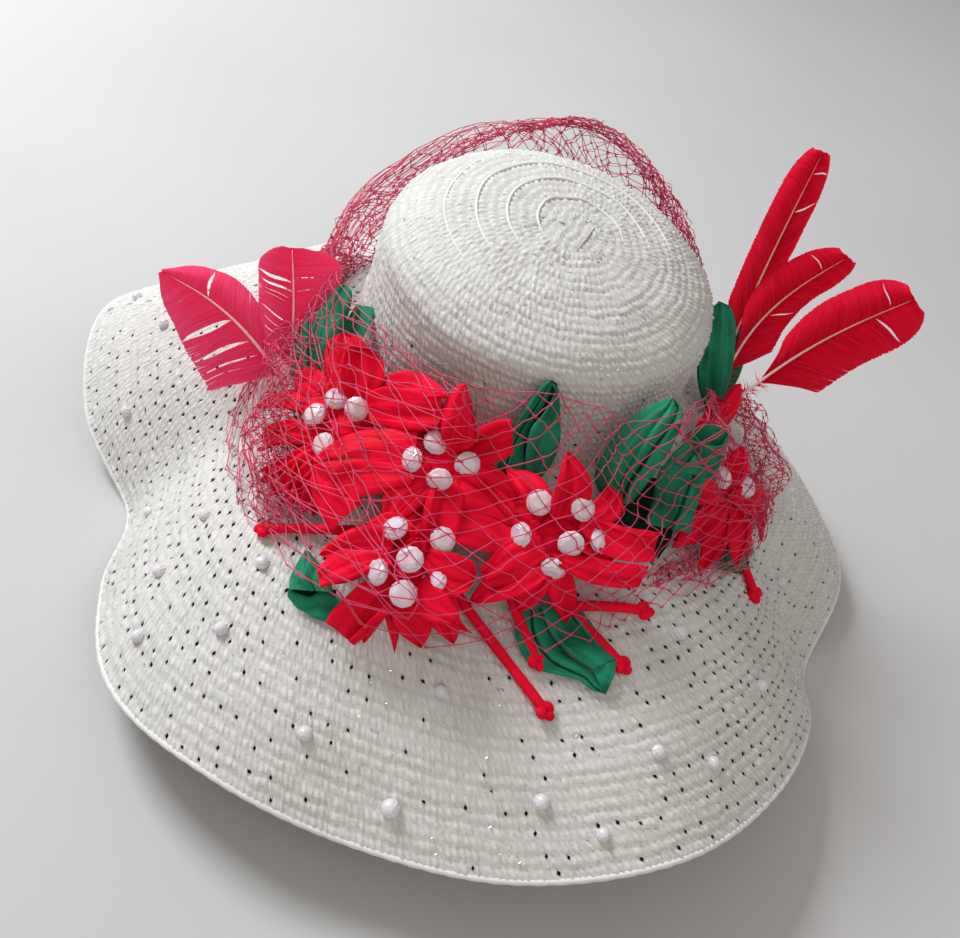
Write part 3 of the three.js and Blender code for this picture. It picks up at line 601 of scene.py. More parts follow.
def slit_places(puffs, place, openness, rng):
    """Row and column of the faces between puffs that open as slits, and each slit's size from 0 to 1."""
    lower, upper = np.arange(1, puffs - 1, 3), np.arange(2, puffs - 1, 3)
    row = np.concatenate([COURSE_POINTS - rng.integers(0, 2, len(lower)),
                          2 * COURSE_POINTS - rng.integers(-1, 1, len(upper))])
    column = PUFF_POINTS * np.concatenate([lower, upper]) + 1 - row // COURSE_POINTS
    size = np.clip(openness(place[row, column]) + rng.uniform(-0.2, 0.2, len(column)), 0, 1)
    chosen = rng.random(len(column)) < 2.6 * openness(place[row, column])
    return row[chosen], column[chosen], size[chosen]


def braid_row(pile, surface, edges, lean, openness, rng, number=0):
    """One row. edges are the places of the puffs along it, one more than there are puffs. lean is how many
    puffs the threads move along from one side of the row to the other. surface(place, across, rise) gives
    points, and openness(place) the share and size of the slits, from 0 to 1."""
    puffs = len(edges) - 1
    columns = PUFF_POINTS * puffs + 1
    width = (edges[-1] - edges[0]) / puffs
    shift = rng.uniform(-PUFF_SHIFT, PUFF_SHIFT, puffs)
    drift = rng.uniform(-COURSE_DRIFT, COURSE_DRIFT, puffs)
    whole, in_puffs = np.arange(puffs + 1), np.arange(columns) / PUFF_POINTS
    place = np.interp(in_puffs, whole, edges + np.append(shift, shift[0]) * width)
    share = np.linspace(0, 1, COURSES * COURSE_POINTS + 1)[:, None]
    across = share + np.interp(in_puffs, whole, np.append(drift, drift[0])) * np.sin(np.pi * share)
    place = place[None] + lean * width * (share - 0.5)
    rise = puff_heights(puffs, rng)
    # Painted shade: the tone follows the height, darker in the valleys and lighter on the puffs' tops
    tone = PAINTED_SHADE_VALLEY_TONE + PAINTED_SHADE_PUFF_RANGE * rise / PUFF_HEIGHT
    thread = np.stack(np.broadcast_arrays(in_puffs * PUFF_LENGTH, share * ROW_WIDTH, 7.3 * number), -1)

    # Slits: the face between two puffs becomes a narrow diamond with a pit under it, the pit's floor painted
    # near black as shade
    row, column, size = slit_places(puffs, place, openness, rng)
    middle_place = sum(place[row + b, column + a] for b, a in SLIT_CORNERS) / 4
    middle_across = sum(across[row + b, column + a] for b, a in SLIT_CORNERS) / 4
    half_long, half_short = 1.15 + 0.75 * size, 0.68 + 0.5 * size
    angle = math.atan2(ROW_WIDTH, lean * PUFF_LENGTH) + rng.normal(-0.15, 0.3, len(size))
    long_way = (np.cos(angle) * half_long, np.sin(angle) * half_long)
    short_way = (np.sin(angle) * half_short, -np.cos(angle) * half_short)
    pit_rim, pit_floor = [], []
    ways = ((long_way, 1), (short_way, 1), (long_way, -1), (short_way, -1))
    for (b, a), (way, sign) in zip(SLIT_CORNERS, ways):
        at_place = middle_place + sign * way[0] / PUFF_LENGTH * width
        at_across = middle_across + sign * way[1] / ROW_WIDTH
        corner = (row + b, column + a)
        place[corner], across[corner] = at_place, at_across
        rise[corner], tone[corner] = SLIT_RIM_RISE, PAINTED_SHADE_SLIT_TONE
        pit_rim.append(surface(at_place, at_across, np.full(len(size), SLIT_RIM_RISE)))
        inward = (0.85 * at_place + 0.15 * middle_place, 0.85 * at_across + 0.15 * middle_across)
        pit_floor.append(surface(*inward, np.full(len(size), -SLIT_DEPTH)))
    faces = grid_faces(len(share), columns)
    keep = np.ones(faces.shape[:2], bool)
    keep[row, column] = False
    pile.add(surface(place, across, rise), faces[keep], tone, thread)
    if len(size):
        # Painted shade: the pit's rim takes the slit tone and its floor tone 0, near black
        pit_faces = PIT_FACES[None] + 8 * np.arange(len(size))[:, None, None]
        pile.add(np.stack(pit_rim + pit_floor, 1), pit_faces, np.tile([PAINTED_SHADE_SLIT_TONE] * 4 + [0.0] * 4, len(size)))

    # Underside
    under_share = np.linspace(0, 1, 5)[:, None]
    relief = 0.15 * np.abs(np.sin(2 * np.pi * under_share)) * (1 + whole % 2)[None]
    under_place = edges[None] + lean * width * (under_share - 0.5)
    under_across = np.broadcast_to(under_share, under_place.shape)
    under = surface(under_place, under_across, -SHEET_THICKNESS - relief)
    pile.grid(under[:, ::-1], 0.6)


def running_length(points):
    """Distance along a line of points, from its start to each point."""
    return np.concatenate([[0], np.cumsum(np.linalg.norm(np.diff(points, axis=0), axis=1))])


# Brim braid: twelve rings, sewn side by side
BRIM_ROWS = 12
BRIM_LEAN = 2.2
BRIM_WANDER = 0.6
SPARKLE_SHARE = 0.22
STITCH_STEP = 3.6


def brim_openness(row):
    """Slits are large and many at the left and in front on the right, most so near the crown."""
    def size(azimuth):
        degrees = (np.degrees(azimuth) + 180) % 360 - 180
        left = np.exp(-((degrees + 146) / 34) ** 2) + 0.5 * np.exp(-((degrees - 172) / 26) ** 2)
        front_right = np.exp(-((degrees + 34) / 24) ** 2)
        inner = max(0.0, 1 - row / 11)
        return np.clip(0.06 + left * (0.26 + 0.9 * inner) + front_right * (0.3 + 0.4 * inner), 0.0, 1)
    return size


def brim_surface(row):
    def points(place, across, rise):
        out = row + across
        fade = np.clip((BRIM_ROWS - out) / 2, 0, 1)
        wander = BRIM_WANDER * np.sin(5 * place + out) * np.sin(3 * place - 1.3 * out) * fade
        return brim_points(out / BRIM_ROWS, place, rise + wander)
    return points


def even_edges(ring, lengths, cells):
    """Places on a closed ring, evenly spaced along its length."""
    marks = np.arange(cells + 1) / cells * lengths[-1]
    whole, rest = np.divmod(marks, lengths[-1])
    return np.interp(rest, lengths, ring) + whole * 2 * np.pi


rng = np.random.default_rng(11)
straw_parts = [Pile() for _ in range(3)]
sparkles, stitches = Pile(), Pile()
ring = np.linspace(-np.pi, np.pi, 1441)
for row in range(BRIM_ROWS):
    lengths = running_length(brim_points((row + 0.5) / BRIM_ROWS, ring))
    surface = brim_surface(row)
    edges = even_edges(ring, lengths, round(lengths[-1] / PUFF_LENGTH / 2) * 2)
    braid_row(straw_parts[row // 4], surface, edges, BRIM_LEAN, brim_openness(row), rng, row)
    chosen = edges[:-1][rng.random(len(edges) - 1) < SPARKLE_SHARE]
    degrees = np.degrees(chosen)
    chosen = chosen[(degrees > -150) & (degrees < 20) & (row > 4)]
    spread = rng.uniform(0.1, 0.9, len(chosen))
    turned_place = chosen + rng.uniform(-0.004, 0.004, len(chosen))
    sparkle_ends = surface(turned_place, spread + 0.04, 1.15)
    strands(sparkles, surface(chosen, spread, 1.2), sparkle_ends, 0.24, steps=1)
    if row:
        marks = even_edges(ring, lengths, round(lengths[-1] / STITCH_STEP))
        stitch_ends = surface(marks[:-1] + 0.62 * np.diff(marks), 0.03, 0.0)
        strands(stitches, surface(marks[:-1], 0.02, 0.0), stitch_ends, 0.3, steps=1)
straw_parts[0].build("braid_brim_inner", STRAW, merge=True, slot="straw")
straw_parts[1].build("braid_brim_middle", STRAW, merge=True, slot="straw")
straw_parts[2].build("braid_brim_outer", STRAW, merge=True, nodes=["brim"], slot="straw")

# Hem: the edge row rolled under, a little uneven where the puffs end
HEM_RADIUS = 1.3
HEM_LUMP = 0.3
HEM_RISE = -0.45
azimuth = np.linspace(-np.pi, np.pi, 900, endpoint=False)
hem_line = brim_points(1.0, azimuth, HEM_RISE)
hem_ahead = unit(np.roll(hem_line, -1, 0) - np.roll(hem_line, 1, 0))
hem_side = unit(np.cross(hem_ahead, (0, 0, 1)))
hem_around = np.linspace(0, 2 * np.pi, 8, endpoint=False)
hem_ring = ring_points(hem_side * 1.1, np.cross(hem_side, hem_ahead), hem_around)
swell = HEM_RADIUS + HEM_LUMP * np.abs(np.sin(azimuth * 95 + 0.6 * np.sin(azimuth * 7)))
hem_loop = hem_line[:, None] + hem_ring * swell[:, None, None]
hem = Pile()
hem.grid(np.concatenate([hem_loop, hem_loop[:1]]), 0.75, closed=True)
hem.build("hem", STRAW, merge=True, slot="straw")

# Crown braid: one strip wound in a spiral from the tip, its ends at the back
SPIRAL_START = 0.72
SPIRAL_BACK = math.radians(80)
TIP_OFFSET = 6.0
CROWN_LEAN = -2.2
CROWN_WANDER = 0.45
GLINTS = 260


def crown_surface(turns, across, rise):
    along = np.clip(ROW_WIDTH * (turns + across) - TIP_OFFSET, 0, CROWN_LENGTH)
    azimuth = SPIRAL_BACK - 2 * np.pi * turns
    wander = CROWN_WANDER * np.sin(7 * azimuth) * np.sin(2.3 * (turns + across))
    return crown_points(along, azimuth, rise + wander)


def crown_openness(turns):
    """Only the wall has slits, and few."""
    return 0.10 * np.clip((turns - 6.5) / 3, 0, 1)


turns = np.linspace(SPIRAL_START, (CROWN_LENGTH + TIP_OFFSET) / ROW_WIDTH - 0.02, 6000)
strip = running_length(crown_surface(turns, 0.5, 0.0))
crown_braid = Pile()
edges = np.interp(np.arange(int(strip[-1] / PUFF_LENGTH)) * PUFF_LENGTH, strip, turns)
braid_row(crown_braid, crown_surface, edges, CROWN_LEAN, crown_openness, rng)
marks = np.interp(np.arange(0, strip[-1] - 4, STITCH_STEP), strip, turns)
strands(stitches, crown_surface(marks, 0.02, 0.0), crown_surface(marks + 0.0035, 0.03, 0.0), 0.28, steps=1)
chosen = np.interp(rng.uniform(0, strip[-1], GLINTS), strip, turns)
spread = rng.uniform(0.1, 0.9, GLINTS)
glint_ends = crown_surface(chosen + 0.003, spread + 0.06, 0.9)
strands(sparkles, crown_surface(chosen, spread, 1.0), glint_ends, 0.25, steps=1)
crown_braid.build("braid_crown", STRAW, merge=True, nodes=["crown"], slot="straw")

# Edge cord of the strip: it stands proud round the tip and sinks into the braid towards the front
CORD_FADE_TURNS = 5.6
CORD_BACK = math.radians(120)
cord_turns = np.arange(SPIRAL_START + 0.8, CORD_FADE_TURNS, 0.006)
towards_back = 0.5 + 0.5 * np.cos(SPIRAL_BACK - 2 * np.pi * cord_turns - CORD_BACK)
proud = np.clip(1.7 * towards_back - 0.25, 0, 1) * np.clip((CORD_FADE_TURNS - cord_turns) / 1.2, 0, 1)
edge_cord = Pile()
tube(edge_cord, crown_surface(cord_turns, 0.0, -0.5 + 1.35 * proud), 0.35 + 0.45 * proud, 7, 0.95)
edge_cord.build("edge_cord", STRAW, slot="straw")

# Tip: three strips laid side by side in the middle of the spiral, the middle one lapping over its neighbour
TIP_RADIUS = 21.0
TIP_STRIP = 14.0
TIP_TURN = math.radians(77)
TIP_LEAN = 0.9
LAP_HEIGHT = 0.9


def tip_surface(strip_number):
    def points(place, across, rise):
        beside = (strip_number - 1.5 + across) * TIP_STRIP
        along = place * np.sqrt(np.clip(1 - (beside / (TIP_RADIUS + 0.5)) ** 2, 0.02, 1))
        lap = 0.0
        if strip_number > 0:
            lap = LAP_HEIGHT * np.exp(-(beside + 0.5 * TIP_STRIP) / 6 - (along / 10) ** 2)
        x = along * math.cos(TIP_TURN) - beside * math.sin(TIP_TURN)
        y = along * math.sin(TIP_TURN) + beside * math.cos(TIP_TURN)
        reach = np.hypot(x, y)
        return crown_points(reach, np.arctan2(y, x), rise + lap - 0.9 * (reach / TIP_RADIUS) ** 4)
    return points


tip = Pile()
azimuth = np.linspace(0, 2 * np.pi, 49)
tip.grid(crown_points(np.linspace(0.3, TIP_RADIUS, 8)[:, None], azimuth[None], -1.6)[::-1], 0.5)
edges = np.linspace(-TIP_RADIUS, TIP_RADIUS, 2 * int(TIP_RADIUS / PUFF_LENGTH) + 1)
for strip_number in range(3):
    surface = tip_surface(strip_number)
    braid_row(tip, surface, edges, TIP_LEAN, lambda place: 0 * place, rng, 40 + strip_number)
tip.build("tip_swirl", STRAW, merge=True, slot="straw")
sparkles.build("lurex_glints", LUREX, smooth=False, slot="straw")
stitches.build("seam_stitches", THREAD, slot="straw")

# Petals of each flower: foot, tip, width, kind and the way the face looks
PETALS = {
    "flower_left": [
        ((-75, -105, 11), (-85, -74, 32), 27, "round", (-0.24, -0.59, 0.78)),
        ((-69, -107, 15), (-76, -86, 36), 25, "round", (0.10, -0.71, 0.69)),
        ((-65, -103, 17), (-25, -120, 41), 25, "blunt", (-0.57, -0.68, 0.46)),
        ((-63, -91, 15), (-24, -118, 50), 20, "point", (-0.74, -0.29, 0.60)),
        ((-78, -114, 9), (-125, -82, -30), 17, "point", (-0.69, -0.16, 0.71)),
        ((-77, -124, 5), (-107, -115, -19), 15, "ruffle", (-0.64, -0.48, 0.61)),
        ((-75, -129, 4), (-95, -139, -20), 18, "ruffle", (-0.37, -0.72, 0.58)),
        ((-73, -131, 7), (-50, -161, 3), 26, "blunt", (-0.37, -0.39, 0.84)),
        ((-69, -123, 7), (-45, -128, 14), 20, "round", (-0.36, -0.50, 0.79)),
        ((-68, -117, 10), (-42, -114, 14), 20, "blunt", (-0.11, -0.41, 0.91)),
        ((-82, -99, 9), (-106, -74, 1), 20, "point", (-0.52, -0.27, 0.81)),
        ((-74, -121, 3), (-77, -148, -17), 20, "ruffle", (-0.06, -0.59, 0.81)),
    ],
    "flower_middle": [
        ((-20, -126, 23), (-17, -120, 62), 26, "hood", (-0.44, -0.90, 0.03)),
        ((-27, -129, 24), (-60, -133, 13), 26, "point", (-0.24, -0.43, 0.87)),
        ((-22, -132, 21), (-52, -149, 6), 25, "point", (-0.07, -0.59, 0.81)),
        ((-18, -136, 20), (-33, -162, 1), 25, "point", (-0.01, -0.59, 0.81)),
        ((-14, -137, 21), (-12, -163, 4), 22, "blunt", (0.02, -0.55, 0.83)),
        ((-12, -135, 22), (31, -150, 10), 27, "point", (-0.04, -0.69, 0.72)),
        ((-10, -128, 24), (22, -134, 17), 24, "point", (0.07, -0.57, 0.82)),
        ((-13, -122, 25), (9, -119, 43), 23, "blunt", (-0.27, -0.85, 0.45)),
        ((-27, -118, 21), (-39, -108, 39), 22, "point", (0.04, -0.86, 0.51)),
        ((-12, -134, 16), (10, -146, -8), 26, "point", (0.50, -0.50, 0.71)),
    ],
    "flower_low": [
        ((-26, -171, 3), (-57, -181, -8), 18, "point", (0.05, -0.80, 0.60)),
        ((-25, -178, 0), (-53, -192, -11), 24, "fold", (-0.14, -0.40, 0.91)),
        ((-21, -181, -5), (-35, -203, -31), 24, "blunt", (-0.09, -0.75, 0.65)),
        ((-17, -184, -7), (-11, -202, -33), 15, "spike", (0.11, -0.79, 0.60)),
        ((-15, -183, -7), (-1, -197, -30), 24, "point", (0.21, -0.76, 0.61)),
        ((-11, -185, -2), (9, -194, -8), 19, "fold", (0.01, -0.54, 0.84)),
        ((-10, -181, -5), (20, -183, -25), 18, "spike", (0.39, -0.63, 0.68)),
        ((-11, -173, 2), (13, -175, -2), 23, "round", (0.09, -0.55, 0.83)),
        ((-17, -167, 2), (-18, -148, 9), 22, "point", (0.02, -0.42, 0.91)),
        ((-25, -167, 1), (-43, -163, 0), 20, "point", (-0.17, -0.50, 0.85)),
        ((-9, -175, -5), (13, -190, -29), 20, "point", (0.22, -0.72, 0.66)),
        ((-21, -182, -7), (-25, -202, -33), 20, "point", (-0.17, -0.77, 0.61)),
    ],
    "flower_centre": [
        ((43, -139, 18), (36, -118, 42), 22, "point", (0.04, -0.75, 0.66)),
        ((51, -137, 21), (90, -132, 15), 21, "blunt", (0.17, -0.38, 0.91)),
        ((47, -158, 13), (87, -150, 10), 15, "blunt", (0.17, -0.63, 0.76)),
        ((36, -139, 16), (12, -117, 17), 22, "point", (-0.27, -0.36, 0.89)),
        ((35, -145, 14), (13, -142, 8), 20, "point", (-0.31, -0.54, 0.79)),
        ((39, -151, 12), (16, -167, -3), 24, "fold", (-0.12, -0.60, 0.79)),
        ((45, -154, 9), (38, -170, -16), 18, "point", (-0.18, -0.81, 0.56)),
        ((48, -154, 9), (60, -168, -16), 17, "point", (0.11, -0.84, 0.53)),
        ((53, -146, 13), (72, -144, 9), 12, "round", (0.24, -0.51, 0.83)),
        ((42, -151, 8), (15, -172, -19), 22, "point", (-0.39, -0.51, 0.77)),
        ((54, -130, 17), (67, -100, 17), 18, "point", (0.20, -0.06, 0.98)),
    ],
    "flower_right": [
        ((129, -64, -4), (121, -113, -13), 19, "point", (0.13, -0.20, 0.97)),
        ((131, -63, -3), (158, -37, -19), 17, "point", (0.64, -0.27, 0.72)),
        ((132, -65, -6), (142, -98, -15), 18, "point", (0.02, -0.27, 0.96)),
        ((124, -70, 3), (100, -99, 11), 20, "point", (0.49, -0.16, 0.86)),
        ((127, -68, -1), (104, -110, -5), 19, "point", (0.25, -0.23, 0.94)),
        ((131, -54, -4), (132, -34, 10), 17, "point", (0.07, -0.58, 0.81)),
        ((134, -57, -8), (167, -42, -45), 16, "spike", (0.70, -0.57, 0.42)),
        ((124, -62, -1), (109, -51, 9), 17, "round", (0.12, -0.62, 0.78)),
    ],
}
FLOWER_NAMES = tuple(PETALS)

# Outlines of petals: share of the full width at the foot, where the petal is full, where it narrows, and how.
# A round end is 1 - share ** power, to a root. A blunt end loses a share of the width.
ROUND_ENDS = {
    "round": (0.5, 0.5, 0.5, 3, 0.5),
    "pod": (0.4, 0.4, 0.45, 2.2, 0.5),
    "hood": (0.6, 0.4, 0.45, 1, 0.6),
}
BLUNT_ENDS = {
    "blunt": (0.55, 0.4, 0.8, 0.12),
    "ruffle": (0.55, 0.4, 0.8, 0.12),
    "fold": (0.6, 0.5, 0.55, 0.45),
}
# Where a long edge is folded over, as a share of the half width. A pod has no such fold.
TURNOVERS = {"point": 0.62, "blunt": 0.62, "fold": 0.62, "round": 0.8, "ruffle": 0.8, "spike": 0.8,
             "hood": 0.8, "pod": 2.0}
TURNOVER_HEIGHT = 1.5
# Half the thickness of the doubled cloth, of petals and of folded leaves
CLOTH_HALF = 0.55
LEAF_CLOTH_HALF = 0.5
# Heights as shares of a petal's width
MIDDLE_CREASE = 0.07
GATHER_HEIGHT = 0.055
RIPPLE_HEIGHT = 0.03
RUFFLE_HEIGHT = 0.13
POD_HEIGHT = 0.75
HOOD_DROP = 0.34


def ease(share):
    share = np.clip(share, 0, 1)
    return share * share * (3 - 2 * share)


def outline(kind, share):
    """Half width of a petal along its length, as a share of the widest place."""
    if kind == "spike":
        return (0.85 + 0.15 * np.sin(np.pi * share)) * np.clip(1 - share, 0, 1) ** 0.9
    if kind == "point":
        return np.sin(np.pi * (0.18 + 0.82 * share)) ** 0.75
    if kind in ROUND_ENDS:
        foot, full, narrows, power, root = ROUND_ENDS[kind]
        end = (1 - np.clip((share - narrows) / (1 - narrows), 0, 1) ** power) ** root
    else:
        foot, full, narrows, lost = BLUNT_ENDS[kind]
        end = 1 - lost * ease((share - narrows) / (1 - narrows))
    return (foot + (1 - foot) * ease(share / full)) * end


def placed(foot, tip, facing):
    """Foot and length of a petal or feather, and the ways ahead, out of its face and to its side."""
    foot, tip = np.array(foot, float), np.array(tip, float)
    length = np.linalg.norm(tip - foot)
    ahead = (tip - foot) / length
    face = unit(np.array(facing) - ahead * np.dot(facing, ahead))
    return foot, length, ahead, face, np.cross(ahead, face)


def petal(pile, foot, tip, width, kind, facing, seed, gathers=1.0, steps=(25, 21)):
    """A doubled piece of satin: gathered at its foot, creased along the middle, one long edge folded over."""
    rng = np.random.default_rng(seed)
    foot, length, ahead, face, side = placed(foot, tip, facing)
    share = np.linspace(0, 1, steps[0])[:, None]
    across = np.linspace(-1, 1, steps[1])[None]
    half_share = outline(kind, share)
    hand = 1 if rng.random() < 0.5 else -1
    bend = rng.uniform(0.05, 0.13) * length
    cup = rng.uniform(-0.16, 0.10) * width
    phase = rng.uniform(0, 6)
    count = rng.uniform(2.2, 3.4)
    ripple = rng.uniform(1.4, 2.2)
    sway = rng.uniform(-0.10, 0.10) * length
    slant = rng.uniform(-0.08, 0.08) * length if kind == "blunt" else 0.0

    pleats = np.abs(np.sin(0.5 * count * np.pi * across + phase))
    height = bend * np.sin(np.pi * share ** 0.9)
    height = height - MIDDLE_CREASE * width * np.exp(-(across / 0.10) ** 2) * (1 - 0.4 * share) * half_share
    height = height + cup * (across ** 2 - 0.3) * np.sin(np.pi * (share * 0.9 + 0.05))
    at_foot = (1 - share) ** 0.9 * np.clip(8 * share, 0.2, 1)
    height = height + gathers * GATHER_HEIGHT * width * (pleats - 0.6) * at_foot
    height = height + RIPPLE_HEIGHT * width * np.sin(ripple * np.pi * across + 3.3 * share + phase) * share
    beyond = 0.0
    if kind == "ruffle":
        height = height + RUFFLE_HEIGHT * width * np.sin(3.6 * np.pi * across + phase) * share
        saw = np.abs(((across * 1.2 + 0.3 * hand) % 1.0) - 0.5) * 2
        beyond = 0.13 * length * saw * ease((share - 0.6) / 0.4)
    if kind == "pod":
        height = height + POD_HEIGHT * width / 2 * half_share * np.sqrt(1 - across ** 2)
    if kind == "hood":
        height = height - HOOD_DROP * width * np.abs(across) ** 1.6 * np.sin(np.pi * (share * 0.8 + 0.2))
    folded = np.clip(hand * across - TURNOVERS[kind], 0, 1)
    height = height + TURNOVER_HEIGHT * ease(folded / 0.12)

    sideways = sway * np.sin(np.pi * share) + 0.04 * width * np.sin(5 * share + phase)
    middle = foot + ahead * (length * share + beyond + slant * across * share)[..., None]
    place = width / 2 * half_share * (across - 2 * hand * folded) + sideways
    form = middle + side * place[..., None] + face * height[..., None]
    thick = CLOTH_HALF * np.sqrt(np.clip(1 - np.abs(across) ** 8, 0.02, 1))
    thick = thick * np.clip((1 - share) * 12, 0.05, 1) ** 0.5
    # Painted shade: darker at the foot, where the petals crowd together, and in the pleats' valleys near it
    tone = np.clip(0.25 + 1.8 * pleats * (1 - share) + 1.4 * share, 0, 1) * np.clip(0.15 + share * 3, 0, 1)
    thread = np.stack(np.broadcast_arrays(across * width / 2, share * length, 11.0 * seed), -1)
    pile.doubled(form, face, thick, tone, thread)


def folded_leaf(pile, left, right, facing, creases, bulge, deep, seed):
    """Doubled satin between two long edges, pressed in along its creases, with painted shade in the creases.
    With deep 0 the whole sheet is painted dark as shade.
    """
    left, right = smooth_route(left, 27)[0], smooth_route(right, 27)[0]
    facing = unit(np.array(facing))
    share = np.linspace(0, 1, 27)[:, None]
    across = np.linspace(0, 1, 31)[None]
    width = np.linalg.norm(right - left, axis=1)[:, None]
    height = bulge * np.sin(np.pi * across) ** 0.5 * np.clip(width / width.max(), 0, 1)
    height = height + 0.02 * width * np.sin(9 * across + 4 * share + seed)
    tone = 0.75 + 0.25 * np.sin(7 * across + 3 * share + seed)
    for start, end, depth in creases:
        off = across - start - (end - start) * share - 0.03 * np.sin(5 * share + seed)
        valley = np.exp(-(off / 0.05) ** 2)
        height = height - depth * valley + 0.4 * depth * np.tanh(off / 0.04)
        # Painted shade in the crease
        tone = tone - 0.8 * valley
    middle = left[:, None] * (1 - across[..., None]) + right[:, None] * across[..., None]
    form = middle + facing * height[..., None]
    thick = LEAF_CLOTH_HALF * np.sqrt(np.clip(1 - np.abs(2 * across - 1) ** 8, 0.02, 1)) + 0 * share
    thread = np.stack(np.broadcast_arrays(across * width, share * 40.0, 13.0 * seed), -1)
    # deep 0 paints the whole sheet dark as shade
    pile.doubled(form, facing, thick, np.clip(tone, 0, 1) * deep, thread)


clusters = {flower: Pile() for flower in FLOWER_NAMES}
all_petals = [(flower, *row) for flower, rows in PETALS.items() for row in rows]
for number, (flower, foot, tip_place, width, kind, facing) in enumerate(all_petals):
    petal(clusters[flower], foot, tip_place, width, kind, facing, 100 + number)

# Broad flat petals: flower, one long edge, the other, facing, creases as (start, end, depth), and bulge
BROAD_PETALS = [
    ("flower_left",
     [(-76, -140, 7), (-70, -133, 14), (-59, -127, 22), (-33, -121, 30)],
     [(-72, -145, 5), (-63, -153, 4), (-52, -155, 6), (-27, -147, 16)],
     (-0.2, -0.5, 0.84), [(0.35, 0.6, 0.8)], 2.0),
    ("flower_middle",
     [(-21, -146, 15), (-8, -138, 22), (7, -136, 24), (20, -139, 20)],
     [(-15, -158, 6), (2, -161, 5), (16, -160, 5), (26, -159, 4)],
     (0.05, -0.6, 0.8), [(0.6, 0.4, 0.8)], 2.0),
]
for number, (flower, left, right, facing, creases, bulge) in enumerate(BROAD_PETALS):
    folded_leaf(clusters[flower], left, right, facing, creases, bulge, 1.0, 40 + number)

# Beads of each flower: the middle, and how far the flat table is turned to the right and upwards
BEADS = {
    "flower_left": [(-84, -117, 13, -0.9, 0.9), (-77, -106, 17, 0.1, 1.0), (-65, -113, 21, 0.5, 0.1),
                    (-74, -131, 9, -0.8, 0.2), (-60, -135, 9, 0.6, -0.5)],
    "flower_middle": [(-31, -138, 25, -1.5, 0.2), (-23, -126, 29, 0.2, 0.35), (-6, -132, 27, 0.25, -0.2),
                      (-16, -143, 23, 0.0, -0.95)],
    "flower_low": [(-28, -166, 8, -0.6, 1.0), (-6, -163, 7, 0.4, 0.1), (-17, -179, 6, 0.1, 0.15),
                   (-29, -185, -2, -1.6, 0.3), (-15, -193, -1, 0.0, -0.15), (-4, -180, -3, -0.5, 1.2)],
    "flower_centre": [(31, -137, 23, 0.1, 0.15), (51, -134, 25, 0.65, 0.1), (27, -151, 13, -1.0, 0.2),
                      (50, -151, 18, 0.1, -0.35), (46, -159, 7, -0.3, -1.3), (63, -142, 16, 1.7, 0.5)],
    "flower_right": [(123, -61, 7, 1.0, 0.3), (140, -51, -3, 0.8, 0.1)],
}
FACINGS = {
    "flower_left": (-0.35, -0.5, 0.79),
    "flower_middle": (-0.05, -0.55, 0.83),
    "flower_low": (-0.02, -0.6, 0.8),
    "flower_centre": (0.05, -0.5, 0.86),
    "flower_right": (0.5, -0.35, 0.79),
}
HEART_LOOPS = 11
STUB_HEIGHT = 16
STUB_RADIUS = 17
# From the beads back to the middle of the stub
STUB_DEPTH = 19


def heart(pile, middle, facing, number):
    """Small folded loops between the beads, and the stub that holds the petals to the hat."""
    rng = np.random.default_rng(500 + number)
    first = unit(np.cross(facing, (0, 0.2, 1)))
    second = np.cross(facing, first)
    for loop in range(HEART_LOOPS):
        angle = loop * 2.4 + rng.uniform(-0.3, 0.3)
        out = first * math.cos(angle) + second * math.sin(angle)
        foot = middle - facing * rng.uniform(9, 12) + out * rng.uniform(0, 7)
        far = foot + out * rng.uniform(7, 13) + facing * rng.uniform(3, 9)
        width = rng.uniform(9, 14)
        seed = 700 + 20 * number + loop
        petal(pile, foot, far, width, "round", unit(facing + 0.4 * out), seed, steps=(11, 9))
    ball(pile, middle - facing * STUB_DEPTH, (facing, first, second), (STUB_HEIGHT, STUB_RADIUS, STUB_RADIUS),
         (12, 20), lambda polar, around: 0.12 * np.sin(5 * around + number) * np.sin(polar), 0.4)


for number, flower in enumerate(FLOWER_NAMES):
    middle = np.array(BEADS[flower], float)[:, :3].mean(0)
    heart(clusters[flower], middle, unit(np.array(FACINGS[flower])), number)

# Each flower's petals, loops and stub, built as one piece
for flower in FLOWER_NAMES:
    satin = clusters[flower].build(flower + "_petals", RED, nodes=[flower], slot="satin_red")

# Leaves and the red bow: lobes of folded satin, each with its leaf, foot, tip, width, kind and facing
LOBES = [
    ("leaf_left_back", (-93, -84, -2), (-96, -44, 38), 20, "round", (-0.4, -0.75, 0.5)),
    ("leaf_left_back", (-99, -84, -4), (-108, -54, 22), 16, "point", (-0.4, -0.8, 0.5)),
    ("leaf_left_back", (-90, -80, 2), (-84, -48, 32), 15, "blunt", (-0.2, -0.8, 0.5)),
    ("leaf_right_lower", (92, -100, -4), (100, -82, 20), 20, "round", (0.3, -0.7, 0.65)),
    ("leaf_right_back", (121, 13, -10), (99, 34, 50), 25, "round", (0.3, -0.82, 0.48)),
    ("leaf_right_back", (123, 18, -8), (108, 39, 42), 15, "round", (0.6, -0.65, 0.45)),
    ("leaf_lower_right", (132, -77, -18), (148, -90, -26), 13, "pod", (0.6, -0.2, 0.8)),
    ("leaf_lower_right", (136, -72, -18), (153, -84, -30), 10, "round", (0.7, 0.1, 0.7)),
    ("bow_right", (107, -20, -8), (124, 3, 23), 17, "round", (0.6, -0.7, 0.4)),
    ("bow_right", (110, -22, -10), (116, -4, 14), 15, "blunt", (0.6, -0.75, 0.3)),
]
LOBE_GATHERS = 1.4
